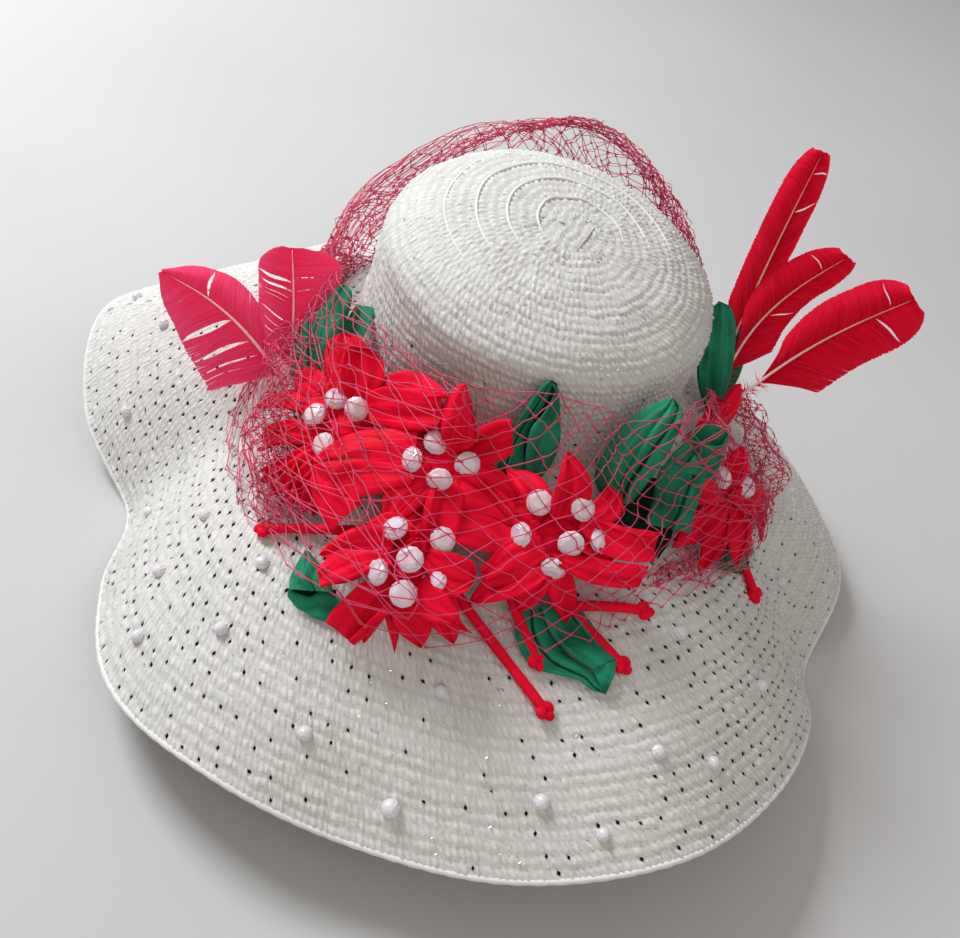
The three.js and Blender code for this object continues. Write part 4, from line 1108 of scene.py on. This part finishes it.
# Folded leaves: leaf, one long edge, the other, facing, creases as (start, end, depth), bulge and tone: 1, or
# 0 for a sheet painted dark to stand for shade
CROWN_SIDE = (0.0, -0.94, 0.33)
UPPER_SIDE = (-0.05, -0.81, 0.58)
RIGHT_SIDE = (0.1, -0.75, 0.65)
FOLDED_LEAVES = [
    ("leaf_crown_front",
     [(18, -98, 62), (15, -100, 58), (11, -106, 45), (8, -111, 29), (7, -114, 15), (13, -114, 9)],
     [(20, -98, 61), (20, -101, 53), (17, -106, 37), (17, -109, 28), (20, -112, 19), (22, -114, 9)],
     CROWN_SIDE, [(0.55, 0.35, 0.8)], 3.0, 1.0),
    ("leaf_crown_front",
     [(18, -95, 60), (17, -98, 52), (14, -103, 37), (14, -106, 28), (17, -109, 19), (20, -112, 9)],
     [(22, -96, 60), (24, -100, 52), (22, -103, 38), (22, -107, 28), (24, -110, 19), (26, -112, 9)],
     CROWN_SIDE, [], 0.5, 0.0),
    ("leaf_crown_front",
     [(19, -98, 61), (22, -103, 60), (20, -108, 50), (17, -111, 42), (18, -114, 31), (22, -116, 14)],
     [(21, -98, 61), (24, -100, 58), (28, -103, 49), (32, -108, 37), (32, -111, 25), (28, -114, 10)],
     CROWN_SIDE, [(0.75, 0.5, 0.5)], 3.4, 1.0),
    ("leaf_right_upper",
     [(77, -78, 59), (69, -82, 55), (62, -88, 48), (57, -94, 39), (54, -101, 26), (55, -106, 18),
      (63, -110, 12)],
     [(78, -78, 59), (84, -81, 56), (85, -86, 52), (84, -93, 42), (81, -100, 30), (78, -105, 21),
      (75, -109, 14)],
     UPPER_SIDE, [(0.5, 0.52, 1.6), (0.86, 0.62, 2.4)], 4.0, 1.0),
    ("leaf_right_lower",
     [(85, -88, 25), (85, -93, 20), (86, -100, 14), (86, -108, 3)],
     [(107, -80, 30), (108, -87, 24), (108, -95, 16), (110, -104, 3)],
     RIGHT_SIDE, [(0.8, 0.5, 1.0)], 3.0, 1.0),
    ("leaf_right_lower",
     [(95, -75, 41), (92, -79, 36), (88, -84, 31), (86, -88, 25)],
     [(110, -74, 40), (112, -76, 37), (113, -80, 32), (113, -85, 24)],
     RIGHT_SIDE, [(0.35, 0.3, 0.8)], 3.0, 1.0),
    ("leaf_bottom",
     [(37, -168, -20), (39, -176, -24), (46, -185, -28), (53, -188, -30), (65, -188, -29), (73, -188, -28),
      (80, -190, -29), (87, -190, -29)],
     [(49, -163, -17), (55, -173, -21), (67, -180, -24), (74, -183, -24), (79, -184, -25), (83, -187, -27),
      (87, -190, -29)],
     (0.0, -0.4, 0.92), [(0.55, 0.35, 0.9)], 1.2, 1.0),
    ("leaf_bottom",
     [(47, -165, -14), (54, -175, -17), (66, -182, -19), (77, -185, -21)],
     [(64, -155, -16), (75, -163, -19), (83, -169, -21), (88, -174, -22)],
     (0.1, -0.4, 0.91), [(0.6, 0.7, 0.5)], 1.6, 1.0),
    ("leaf_bottom",
     [(77, -183, -23), (82, -188, -25), (86, -190, -28)],
     [(88, -176, -20), (88, -184, -23), (87, -190, -28)],
     (0.2, -0.5, 0.85), [], 0.8, 1.0),
    ("leaf_lower_left",
     [(-67, -166, -27), (-68, -175, -27), (-68, -184, -27), (-66, -190, -28)],
     [(-65, -166, -27), (-57, -174, -24), (-51, -180, -22), (-46, -187, -24)],
     (-0.1, -0.5, 0.85), [(0.4, 0.55, 0.7)], 2.2, 1.0),
    ("leaf_lower_left",
     [(-66, -186, -30), (-62, -184, -31), (-56, -182, -31), (-46, -181, -29)],
     [(-66, -190, -33), (-61, -190, -36), (-56, -190, -35), (-45, -186, -32)],
     (0.0, -0.6, 0.8), [], 0.2, 0.0),
    ("leaf_lower_left",
     [(-67, -189, -28), (-62, -189, -30), (-56, -188, -30), (-51, -185, -27), (-37, -188, -26)],
     [(-66, -191, -32), (-61, -193, -35), (-57, -194, -35), (-48, -196, -35), (-34, -195, -32)],
     (0.0, -0.7, 0.7), [], 1.0, 1.0),
    ("leaf_right_lower",
     [(61, -83, 4), (65, -101, 2), (71, -117, -1), (77, -129, -5)],
     [(97, -66, -2), (102, -83, -5), (104, -99, -8), (99, -115, -10)],
     (0.1, -0.4, 0.9), [], 1.0, 0.0),
    ("leaf_lower_right",
     [(142, -65, -27), (139, -83, -20), (135, -95, -19), (133, -99, -21)],
     [(153, -51, -38), (161, -57, -41), (153, -75, -32), (147, -90, -29)],
     (0.6, -0.3, 0.75), [(0.5, 0.6, 0.6)], 2.0, 1.0),
]
# The rolled end of leaf_right_lower: its closed back, open mouth, upper side, width, height and wall
ROLL_BACK = (103, -79, 30)
ROLL_MOUTH = (102, -80, 50)
ROLL_UPPER_SIDE = (0.2, -0.9, 0.1)
ROLL_WIDTH = 18
ROLL_HEIGHT = 9
ROLL_WALL = 0.55


def roll(pile):
    """Satin rolled round until its edges meet, closed at the back and flattened, its hollow painted dark as
    shade.
    The form runs out to the mouth and back inside."""
    back, length, ahead, top, side = placed(ROLL_BACK, ROLL_MOUTH, ROLL_UPPER_SIDE)
    angle = np.linspace(0, 2 * np.pi, 28, endpoint=False)[None]
    share = np.concatenate([np.linspace(0, 1, 14), np.linspace(1, 0.12, 10)])[:, None]
    wall = np.concatenate([np.zeros(14), np.full(10, ROLL_WALL)])[:, None]
    spread = np.sin(np.pi * (0.03 + 0.55 * share)) ** 0.7
    dent = 1 + 0.10 * np.sin(3 * angle + 4 * share)
    longer = 1 - 0.16 * (1 + np.sin(angle)) * share ** 3
    beside = (ROLL_WIDTH / 2 * spread - wall) * np.cos(angle) * dent
    above = (ROLL_HEIGHT / 2 * spread - wall) * np.sin(angle) * dent + 1.2 * np.sin(np.pi * share)
    middle = back + ahead * (length * share * longer)[..., None]
    form = middle + side * beside[..., None] + top * above[..., None]
    # Painted shade: the inner wall darkens towards the inside
    tone = np.concatenate([np.ones(14), np.linspace(0.8, 0.0, 10)])[:, None]
    thread = np.stack(np.broadcast_arrays(angle * ROLL_WIDTH / 4, share * ROLL_WIDTH, 0.0), -1)
    pile.grid(form, tone, closed=True, thread=thread)


leaf_piles = {}
for number, (leaf, foot, tip_place, width, kind, facing) in enumerate(LOBES):
    pile = leaf_piles.setdefault(leaf, Pile())
    petal(pile, foot, tip_place, width, kind, facing, 300 + number, LOBE_GATHERS)
for number, (leaf, left, right, facing, creases, bulge, deep) in enumerate(FOLDED_LEAVES):
    pile = leaf_piles.setdefault(leaf, Pile())
    folded_leaf(pile, left, right, facing, creases, bulge, deep, number)
roll(leaf_piles["leaf_right_lower"])
for leaf, pile in leaf_piles.items():
    cloth, slot = (RED, "satin_red") if leaf == "bow_right" else (GREEN, "satin_green")
    satin = pile.build(leaf + "_satin", cloth, nodes=[leaf], slot=slot)

# Beads: ten facets round, and a flat table that looks outwards. Each ring of corners has its distance from
# the middle line and its height, as shares of the radius. The flower beads are flattened.
BEAD_RADIUS = 6.2
BEAD_SIDES = 10
FACET_RINGS = ((0.0, 1.0), (0.46, 0.90), (0.80, 0.62), (1.0, 0.16),
               (1.0, -0.16), (0.80, -0.62), (0.46, -0.9), (0.0, -1.0))
HEART_RINGS = ((0.0, 0.56), (0.52, 0.55), (0.83, 0.38), (1.0, 0.08),
               (1.0, -0.10), (0.83, -0.38), (0.52, -0.55), (0.0, -0.56))
# Small beads glued to the brim: azimuth in degrees, share of the way out, radius
BRIM_BEADS = [
    (178, 0.86, 3.4), (-174, 0.68, 3.4), (-162, 0.84, 3.2), (-144, 0.85, 3.4), (-131, 0.6, 3.4),
    (-128, 0.77, 3.6), (-122, 0.88, 3.4), (-116, 0.54, 3.6), (-114, 0.72, 3.4), (-99, 0.82, 3.6),
    (-86, 0.62, 3.2), (-88, 0.9, 4.4), (-73, 0.83, 3.8), (-67, 0.91, 3.2), (-60, 0.76, 3.6),
    (-53, 0.83, 3.2), (-39, 0.75, 3.4), (-51, 0.51, 3.6), (-12, 0.68, 3.2), (76, 0.84, 3.4),
    (134, 0.82, 3.4),
]


def bead(pile, centre, radius, facing, turn, rings):
    """A faceted bead whose flat table looks along facing, turned round that line by an angle."""
    facing = unit(np.array(facing, float))
    first = unit(np.cross(facing, (0.3, 0.2, 0.9)))
    second = np.cross(facing, first)
    angle = np.linspace(0, 2 * np.pi, BEAD_SIDES, endpoint=False) + turn
    rows = []
    for ring, (reach, level) in enumerate(rings):
        shifted = angle + ring % 2 * np.pi / BEAD_SIDES
        flat = first * np.cos(shifted)[:, None] + second * np.sin(shifted)[:, None]
        rows.append(np.asarray(centre) + (flat * max(reach, 0.002) + facing * level) * radius)
    pile.grid(np.stack(rows), 0.5, closed=True)


heart_beads, brim_beads = Pile(), Pile()
rng = np.random.default_rng(40)
for x, y, z, to_right, to_top in [row for rows in BEADS.values() for row in rows]:
    look = unit(EYE - np.array((x, y, z))) + to_right * np.array(view_right) + to_top * np.array(view_up)
    bead(heart_beads, (x, y, z), BEAD_RADIUS, look + rng.normal(0, 0.05, 3), rng.uniform(0, 6), HEART_RINGS)
bead_nodes = [f"bead_{k + 1:02d}" for k in range(23)]
heart_beads.build("heart_beads", HEART_BEAD, smooth=False, nodes=bead_nodes, slot="bead_pearl")
for degrees, out, radius in BRIM_BEADS:
    place = math.radians(degrees)
    centre = brim_points(out, place, radius * 0.35)
    look = centre - brim_points(out, place, -5) + rng.normal(0, 1.2, 3)
    bead(brim_beads, centre, radius, look, rng.uniform(0, 6), FACET_RINGS)
brim_beads.build("brim_beads", BRIM_BEAD, smooth=False, slot="bead_pearl")

# Feathers: quill foot and tip, bow along the face, sway to the side, the way the face looks, each side of
# the vane as (width, where it starts, where it is full, where it narrows), the splits as (side, start, end),
# and how fast the vane narrows to its tip
FEATHERS = [
    ("feather_left_low", (-119, -61, -22), (-197, -43, 8), 7, 7, (-0.15, -0.68, 0.72),
     ((18, 0.10, 0.42, 0.45), (32, 0.02, 0.22, 0.28)),
     [(1, 0.62, 0.68), (-1, 0.15, 0.19), (-1, 0.24, 0.31), (-1, 0.40, 0.50), (-1, 0.72, 0.74)], 0.85),
    ("feather_left_tall", (-114, -62, -21), (-130, -30, 41), 5, 5, (-0.3, -0.78, 0.55),
     ((27, 0.42, 0.86, 0.90), (23, 0.10, 0.42, 0.80)),
     [(-1, 0.25, 0.28), (-1, 0.33, 0.35), (-1, 0.40, 0.44), (-1, 0.565, 0.58), (-1, 0.60, 0.62),
      (-1, 0.645, 0.695), (-1, 0.71, 0.77), (1, 0.66, 0.68), (1, 0.76, 0.78)], 0.5),
    ("feather_right_tall", (116, 16, -13), (125, 84, 130), 6, -5, (0.2, -0.8, 0.5),
     ((12, 0.30, 0.70, 0.80), (12, 0.20, 0.42, 0.85)),
     [(1, 0.75, 0.78), (-1, 0.70, 0.71), (1, 0.90, 0.92)], 0.5),
    ("feather_right_mid", (119, 9, -14), (161, 63, 86), 6, -17, (0.1, -0.8, 0.5),
     ((14, 0.25, 0.50, 0.80), (14, 0.30, 0.62, 0.85)),
     [(1, 0.53, 0.56), (1, 0.44, 0.45), (-1, 0.86, 0.88)], 0.5),
    ("feather_right_low", (117, 1, -14), (201, 48, 82), 6, -9, (0, -0.82, 0.5),
     ((24, 0.30, 0.52, 0.80), (18, 0.30, 0.70, 0.84)),
     [(1, 0.80, 0.83), (-1, 0.88, 0.90), (-1, 0.5, 0.51)], 0.5),
]
BARBS = 150
LAST_BARB = 0.99
SPLIT_REACH = 2.2
SPLIT_WIDTH = 0.5
DOWN_TUFTS = 60


def parting(start, hand, splits):
    """How far a barb is swept along the quill beside a split, as a share of the feather's length."""
    swept = 0.0
    for split_hand, split_from, split_to in splits:
        half = (split_to - split_from) / 2
        off = (start - (split_from + split_to) / 2) / (half * SPLIT_REACH)
        if split_hand == hand and abs(off) < 1:
            swept += math.copysign(1, off) * (1 - abs(off)) * half * SPLIT_WIDTH
    return swept


def feather(vane, quill, foot, tip_place, bow, sway, facing, sides, splits, taper, seed):
    """Barbs as thin strips on both sides of a bowed quill, parted at the splits, and down at the foot."""
    rng = np.random.default_rng(seed)
    foot, length, ahead, face, side = placed(foot, tip_place, facing)

    def spine(share):
        share = np.asarray(share, float)[..., None]
        return foot + ahead * length * share + (face * bow + side * sway) * np.sin(np.pi * share)

    steps = np.linspace(0, 1, 7)[:, None]
    for hand, (width, begins, full, narrows) in zip((1, -1), sides):
        outward = side * hand
        cross = unit(ahead * 0.8 - outward * 0.45)
        strip_half = length * (LAST_BARB - begins) / BARBS * 0.85 * (1.05 - 0.25 * steps ** 3)
        for barb in range(BARBS):
            start = begins + (LAST_BARB - begins) * (barb + rng.uniform(-0.2, 0.2)) / BARBS
            end = start + 0.26 * (1.0 - start) * rng.uniform(0.98, 1.02)
            filled = np.sin(np.clip((end - begins) / (full - begins), 0.0, 1) * np.pi / 2) ** 0.8
            rounded = max(0.0, 1 - (max(0.0, end - narrows) / (1.01 - narrows)) ** 2.2) ** taper
            reach = width * filled * rounded * rng.uniform(0.98, 1.01)
            swept = parting(start, hand, splits) * length
            line = spine([start]) + outward * reach * steps ** 1.05
            sweep = swept * np.sin(np.pi * steps ** 0.95) ** 0.8
            line = line + ahead * ((end - start) * length * steps ** 0.9 + sweep)
            line = line + ahead * 0.8 * steps * np.sin(7 * steps + 15 * start + seed)
            lift = 2.4 * np.sin(np.pi * steps * 0.8) - 3.2 * steps ** 2 + rng.uniform(-0.12, 0.12)
            line = line + face * lift
            strip = np.stack([line - cross * strip_half, line + cross * strip_half + face * 0.2], 1)
            shade = np.clip(0.35 + 0.4 * steps + rng.uniform(-0.16, 0.16), 0, 1)
            thread = np.stack(np.broadcast_arrays([[-0.4, 0.4]], reach * steps, 3.0 * barb), -1)
            vane.grid(strip, shade, thread=thread)

    # Down at the foot
    steps = np.linspace(0, 1, 6)[:, None]
    for share in rng.uniform(0.05, 0.3, DOWN_TUFTS):
        away = unit(side * rng.normal(0, 1) + face * rng.normal(0, 0.4) + ahead * rng.uniform(0.2, 1.0))
        bend = unit(rng.normal(0, 1, 3))
        line = spine([share])[0] + away * steps * rng.uniform(5, 12) + bend * 2.5 * steps ** 2
        cross = unit(np.cross(away, face)) * 0.28 * (1.1 - steps)
        vane.grid(np.stack([line - cross, line + cross], 1), 0.5)
    shares = np.linspace(0, 0.97, 30)
    tube(quill, spine(shares) + face * 0.3, 0.95 * (1 - shares) ** 0.7 + 0.15, 7, 1 - 0.75 * shares)


for number, (name, foot, tip_place, bow, sway, facing, sides, splits, taper) in enumerate(FEATHERS):
    vane, quill = Pile(), Pile()
    feather(vane, quill, foot, tip_place, bow, sway, facing, sides, splits, taper, 900 + number)
    # Painted light: the left feathers take the lit copy, the right ones the shaded copy
    barbs = PAINTED_LIT_FEATHER if "left" in name else PAINTED_SHADED_FEATHER
    vane.build(name + "_vane", barbs, nodes=[name], slot="feather_red")
    quill.build(name + "_quill", QUILL, slot="feather_red")

# Veil: a sheet of diamond net over the flowers, gathered into bunches at both sides and carried round the
# crown's back. Each row of the tables has the azimuth in degrees, the distance of the lower and of the upper
# edge from the crown's axis, and the upper edge's height.
VEIL_FRONT = [
    (-176, 122, 101, 22), (-160, 146, 108, 40), (-150, 160, 112, 48), (-125, 180, 106, 50),
    (-100, 190, 108, 48), (-80, 186, 112, 66), (-66, 180, 112, 60), (-56, 175, 110, 46),
    (-40, 168, 112, 54), (-20, 162, 108, 40), (-4, 136, 104, 20),
]
VEIL_BACK = [
    (190, 112, 113, 18), (160, 112, 121, 40), (125, 112, 118, 72), (95, 112, 113, 88), (65, 112, 115, 74),
    (35, 112, 110, 42),
]
STRAND_RADIUS = 0.25
LOWER_EDGE_RISE = 1.0
# How far out the rays start that find what the net lies on
RAY_LENGTH = 80


def along_rows(rows, column, share):
    values = np.array([row[column] for row in rows], float)
    return np.interp(share, np.linspace(0, 1, len(rows)), values)


def veil_base(rows, around_share, up_share):
    """Point of the plain sheet between the veil's lower and upper edge, and the sheet's outward direction."""
    azimuth = np.radians(along_rows(rows, 0, around_share))
    low, high, high_z = (along_rows(rows, column, around_share) for column in (1, 2, 3))
    lines = brim_points(np.linspace(0, 1, 60)[:, None], azimuth.reshape(-1)[None])
    radii = np.hypot(lines[..., 0], lines[..., 1])
    low_z = np.array([np.interp(r, radii[:, k], lines[:, k, 2]) for k, r in enumerate(low.reshape(-1))])
    low_z = low_z.reshape(low.shape) + LOWER_EDGE_RISE
    radius = low + (high - low) * up_share
    height = low_z + (high_z - low_z) * up_share
    tilt = np.arctan2(high_z - low_z, low - high)
    outward = np.stack([np.sin(tilt) * np.cos(azimuth), np.sin(tilt) * np.sin(azimuth), np.cos(tilt)], -1)
    return np.stack([radius * np.cos(azimuth), radius * np.sin(azimuth), height], -1), outward


def neighbours(values):
    """The values of the four neighbours of each place of a grid."""
    padded = np.pad(values, 1, mode="edge")
    return [padded[:-2, 1:-1], padded[2:, 1:-1], padded[1:-1, :-2], padded[1:-1, 2:]]


def smooth_grid(values, times):
    for _ in range(times):
        values = (sum(neighbours(values)) + 4 * values) / 8
    return values


def widest_grid(values, times):
    for _ in range(times):
        values = np.maximum.reduce(neighbours(values) + [values])
    return values


def obstacles(piles):
    """What the net lies on: the flowers, leaves and beads, and plain sheets in the braid's place."""
    plain = Pile()
    azimuth = np.linspace(0, 2 * np.pi, 97)
    plain.grid(brim_points(np.linspace(0, 0.75, 12)[:, None], azimuth[None], 1.0))
    plain.grid(crown_points(np.linspace(20, CROWN_LENGTH, 16)[:, None], azimuth[None], 1.2))
    points, faces, count = [], [], 0
    for pile in piles + [plain]:
        points += pile.points
        faces += [part + count for part in pile.faces]
        count += pile.count
    return BVHTree.FromPolygons(np.concatenate(points).tolist(), np.concatenate(faces).tolist())


def draped(rows, tree, columns, lines, clearance, tightness):
    """Grid of points of a sheet pulled over what lies under it."""
    share, up = np.meshgrid(np.linspace(0, 1, columns), np.linspace(0, 1, lines), indexing="ij")
    base, outward = veil_base(rows, share, up)
    height = np.zeros(share.shape)
    for i in range(columns):
        for j in range(lines):
            start = base[i, j] + outward[i, j] * RAY_LENGTH
            found = tree.ray_cast(Vector(start), Vector(-outward[i, j]), RAY_LENGTH)
            if found[0] is not None:
                height[i, j] = max(0.0, RAY_LENGTH - found[3])
    hull = smooth_grid(widest_grid(height, 2), tightness)
    hull = np.maximum(hull, smooth_grid(np.maximum(hull, widest_grid(height, 1)), 1))
    return base + outward * (hull + clearance)[..., None]


def sample(grid, share, up):
    """Points of a grid at shares along its two sides."""
    columns, lines = grid.shape[:2]
    x, y = np.clip(share, 0, 1) * (columns - 1), np.clip(up, 0, 1) * (lines - 1)
    i, j = np.minimum(x.astype(int), columns - 2), np.minimum(y.astype(int), lines - 2)
    s, t = (x - i)[..., None], (y - j)[..., None]
    return (grid[i, j] * (1 - s) * (1 - t) + grid[i + 1, j] * s * (1 - t)
            + grid[i, j + 1] * (1 - s) * t + grid[i + 1, j + 1] * s * t)


def net(pile, place, columns, lines, seed, jitter=0.25, skew=0.0, borders=(True, True), drawn=0.0, loose=0.5):
    """Diamond net. place(share, up) gives the sheet's points. Nodes lie where the column and line numbers add
    up to an even number. Each thread runs from a node to the next line's neighbours, and every crossing has a
    knot. jitter, skew and drawn move the nodes, loose bends the threads, and borders says which of the two
    long edges have a thread."""
    rng = np.random.default_rng(seed)
    i, j = np.meshgrid(np.arange(columns + 1), np.arange(lines + 1), indexing="ij")
    share = (i + rng.uniform(-jitter, jitter, i.shape)) / columns + skew * (j / lines - 0.5)
    up = (j + rng.uniform(-jitter, jitter, j.shape) * ((j > 0) & (j < lines))) / lines
    share = share + drawn * np.sin(9 * up + 14 * share) / columns
    nodes = place(share, up)
    here = ((i + j) % 2 == 0) & (share > -0.005) & (share < 1.005)
    starts, middles, ends = [], [], []
    for side in (-1, 1):
        from_i, from_j = np.nonzero(here & (i + side >= 0) & (i + side <= columns) & (j + 1 <= lines))
        keep = here[from_i + side, from_j + 1]
        begin = (from_i[keep], from_j[keep])
        end = (begin[0] + side, begin[1] + 1)
        starts.append(nodes[begin])
        ends.append(nodes[end])
        middles.append(place((share[begin] + share[end]) / 2, (up[begin] + up[end]) / 2))
    starts, middles, ends = (np.concatenate(x) for x in (starts, middles, ends))
    sag = rng.normal(0, loose, (len(starts), 3)) + middles - (starts + ends) / 2
    strands(pile, starts, ends, rng.uniform(0.85, 1.15, len(starts)) * STRAND_RADIUS, sag)
    ahead = unit(ends - starts)
    strands(pile, starts - ahead * 0.4, starts + ahead * 1.1, STRAND_RADIUS * 1.75, steps=1)
    for line, wanted in zip((0, lines), borders):
        if wanted:
            edge = nodes[:, line][here[:, line]]
            strands(pile, edge[:-1], edge[1:], STRAND_RADIUS, rng.normal(0, loose, (len(edge) - 1, 3)))


def bunch(pile, route, spread, columns, lines, seed, flat=0.55):
    """Net gathered into a loose rope along a route: the sheet is rolled round it and crumpled."""
    rng = np.random.default_rng(seed)
    line, _ = smooth_route(route, 60)
    ahead = unit(np.gradient(line, axis=0))
    out = unit(np.cross(ahead, unit(np.array([0, 0.2, 1.0]))))
    top = np.cross(out, ahead)
    waves = rng.uniform(0, 6, 4)

    def place(share, up):
        x = np.clip(share, 0, 1) * (len(line) - 1)
        k = np.minimum(x.astype(int), len(line) - 2)
        t = (x - k)[..., None]
        middle, side, over = (a[k] * (1 - t) + a[k + 1] * t for a in (line, out, top))
        girth = np.interp(share, np.linspace(0, 1, len(spread)), spread)
        angle = 2 * np.pi * up * 0.97 + waves[0] + 1.6 * np.sin(5 * share + waves[1])
        crumple = 0.3 * np.sin(11 * share + 5 * up + waves[2]) + 0.25 * np.sin(23 * share - 8 * up + waves[3])
        reach = girth * (0.75 + crumple)
        beside, above = reach * np.cos(angle), reach * flat * np.sin(angle)
        return middle + side * beside[..., None] + over * above[..., None]

    net(pile, place, columns, lines, seed + 1, jitter=0.45, borders=(False, False), loose=1.0)


# Veil over the flowers: a whole sheet, and a looser one over each end of it
tree = obstacles(list(clusters.values()) + list(leaf_piles.values()) + [heart_beads])
front, back = Pile(), Pile()
over = draped(VEIL_FRONT, tree, 110, 34, 1.0, 4)
loose_over = draped(VEIL_FRONT, tree, 110, 34, 2.6, 10)
net(front, lambda share, up: sample(over, share, up), 50, 21, 60, jitter=0.2, skew=0.05,
    borders=(False, True), drawn=0.8)
for start, covered, columns, skew, seed in ((0.0, 0.44, 20, -0.07, 61), (0.74, 0.26, 13, 0.07, 62)):
    net(front, lambda share, up: sample(loose_over, start + share * covered, up * 0.97), columns, 18, seed,
        jitter=0.3, skew=skew, borders=(False, True), drawn=1.2, loose=0.8)

# Bunches at both sides: route, thickness along it, columns and lines of the net
LEFT_ROUTE = [
    (-80, -156, -24), (-98, -140, -20), (-104, -112, -8), (-106, -80, 0), (-112, -50, 6), (-119, -15, 6),
    (-124, 30, -4), (-122, 62, -6),
]
LEFT_INNER = [
    (-72, -156, -16), (-88, -135, -10), (-93, -110, 2), (-101, -76, 8), (-104, -47, 18),
]
RIGHT_ROUTE = [
    (124, 34, -8), (138, 18, -4), (152, 0, -10), (160, -18, -24), (156, -44, -32),
]
RIGHT_INNER = [
    (96, -128, -14), (112, -112, -14), (130, -92, -18), (150, -60, -24), (152, -30, -18),
]
ARCH = [
    (-118, 60, -6), (-100, 86, 26), (-74, 100, 54), (-40, 110, 76), (-5, 114, 88), (26, 110, 84),
    (58, 98, 64), (88, 78, 36), (106, 58, 10),
]
SIDE_BUNCHES = [
    (LEFT_ROUTE, (8, 14, 16, 15, 14, 12, 12, 8), 46, 14),
    (LEFT_ROUTE, (12, 18, 12, 18, 10, 14, 9, 10), 40, 14),
    (LEFT_INNER, (6, 12, 13, 13, 10), 30, 12),
    (RIGHT_ROUTE, (8, 12, 13, 12, 8), 24, 12),
    (RIGHT_ROUTE, (11, 8, 15, 10, 10), 22, 11),
    (RIGHT_INNER, (4, 7, 9, 9, 7), 26, 10),
]
for number, (route, spread, columns, lines) in enumerate(SIDE_BUNCHES):
    bunch(front, route, spread, columns, lines, 70 + 2 * number)

# Veil round the crown's back: three loose sheets, and two bunches over the top
behind = draped(VEIL_BACK, tree, 60, 16, 1.2, 4)


def back_sheet(lift, ripple):
    def place(share, up):
        inside = np.sin(np.pi * np.clip(up, 0, 1))
        base, outward = veil_base(VEIL_BACK, np.clip(share, 0, 1), np.clip(up, 0, 1))
        billow = inside * 7 + lift + ripple * np.sin(26 * share + 2.5 * up) * inside
        return sample(behind, share, up) + outward * billow[..., None]
    return place


net(back, back_sheet(0.0, 1.5), 56, 13, 80, skew=0.04, drawn=1.0)
net(back, back_sheet(2.5, 2.5), 50, 12, 81, jitter=0.3, skew=-0.05, drawn=1.4, loose=0.9)
net(back, back_sheet(-2.0, 3.0), 44, 14, 82, jitter=0.35, skew=0.1, drawn=1.8, loose=0.9)
bunch(back, ARCH, (7, 6, 5, 4, 4, 5, 7, 9, 8), 70, 9, 90, flat=0.7)
bunch(back, ARCH[3:], (3, 4, 6, 9, 10, 8), 44, 10, 92, flat=0.8)

# Flat net in metres, the area of its threads in square metres, and what lies under it
NET_CUTS = {
    "veil_front": ((0.22, 0.66), 0.0437, FLOWER_NAMES),
    "veil_back": ((0.22, 0.46), 0.0335, ("crown", "brim")),
}
for pile, name in ((front, "veil_front"), (back, "veil_back")):
    sheet = pile.build(name + "_net", NET, nodes=[name], slot="veil_pink")
    size, strand_area, under = NET_CUTS[name]
    list(under)

# Floor and light
FLOOR_REACH = 4
corners = [(x * FLOOR_REACH, y * FLOOR_REACH, 0) for x, y in ((-1, -1), (1, -1), (1, 1), (-1, 1))]
floor_mesh = bpy.data.meshes.new("floor")
floor_mesh.from_pydata(corners, [], [(0, 1, 2, 3)])
floor_mesh.materials.append(FLOOR)
floor = bpy.data.objects.new("floor", floor_mesh)
bpy.context.scene.collection.objects.link(floor)


def area_light(name, place, target, size, power, colour):
    light = bpy.data.lights.new(name, "AREA")
    light.size = size
    light.energy = power
    light.color = colour
    holder = bpy.data.objects.new(name, light)
    bpy.context.scene.collection.objects.link(holder)
    holder.location = place
    holder.rotation_mode = "QUATERNION"
    holder.rotation_quaternion = (Vector(target) - Vector(place)).to_track_quat("-Z", "Y")


area_light("key", (-1.3, 0.62, 1.45), (0, 0, 0.1), 0.7, 43.5, (0.97, 0.985, 1.0))
area_light("fill", (0.6, -1.4, 1.3), (0, 0, 0.1), 1.6, 7, (1.0, 0.90, 0.76))
world = bpy.data.worlds.new("world")
bpy.context.scene.world = world
world.use_nodes = True
world.node_tree.nodes["Background"].inputs["Color"].default_value = (1.0, 0.97, 0.93, 1)
world.node_tree.nodes["Background"].inputs["Strength"].default_value = 0.43
bpy.context.scene.view_settings.view_transform = "Standard"
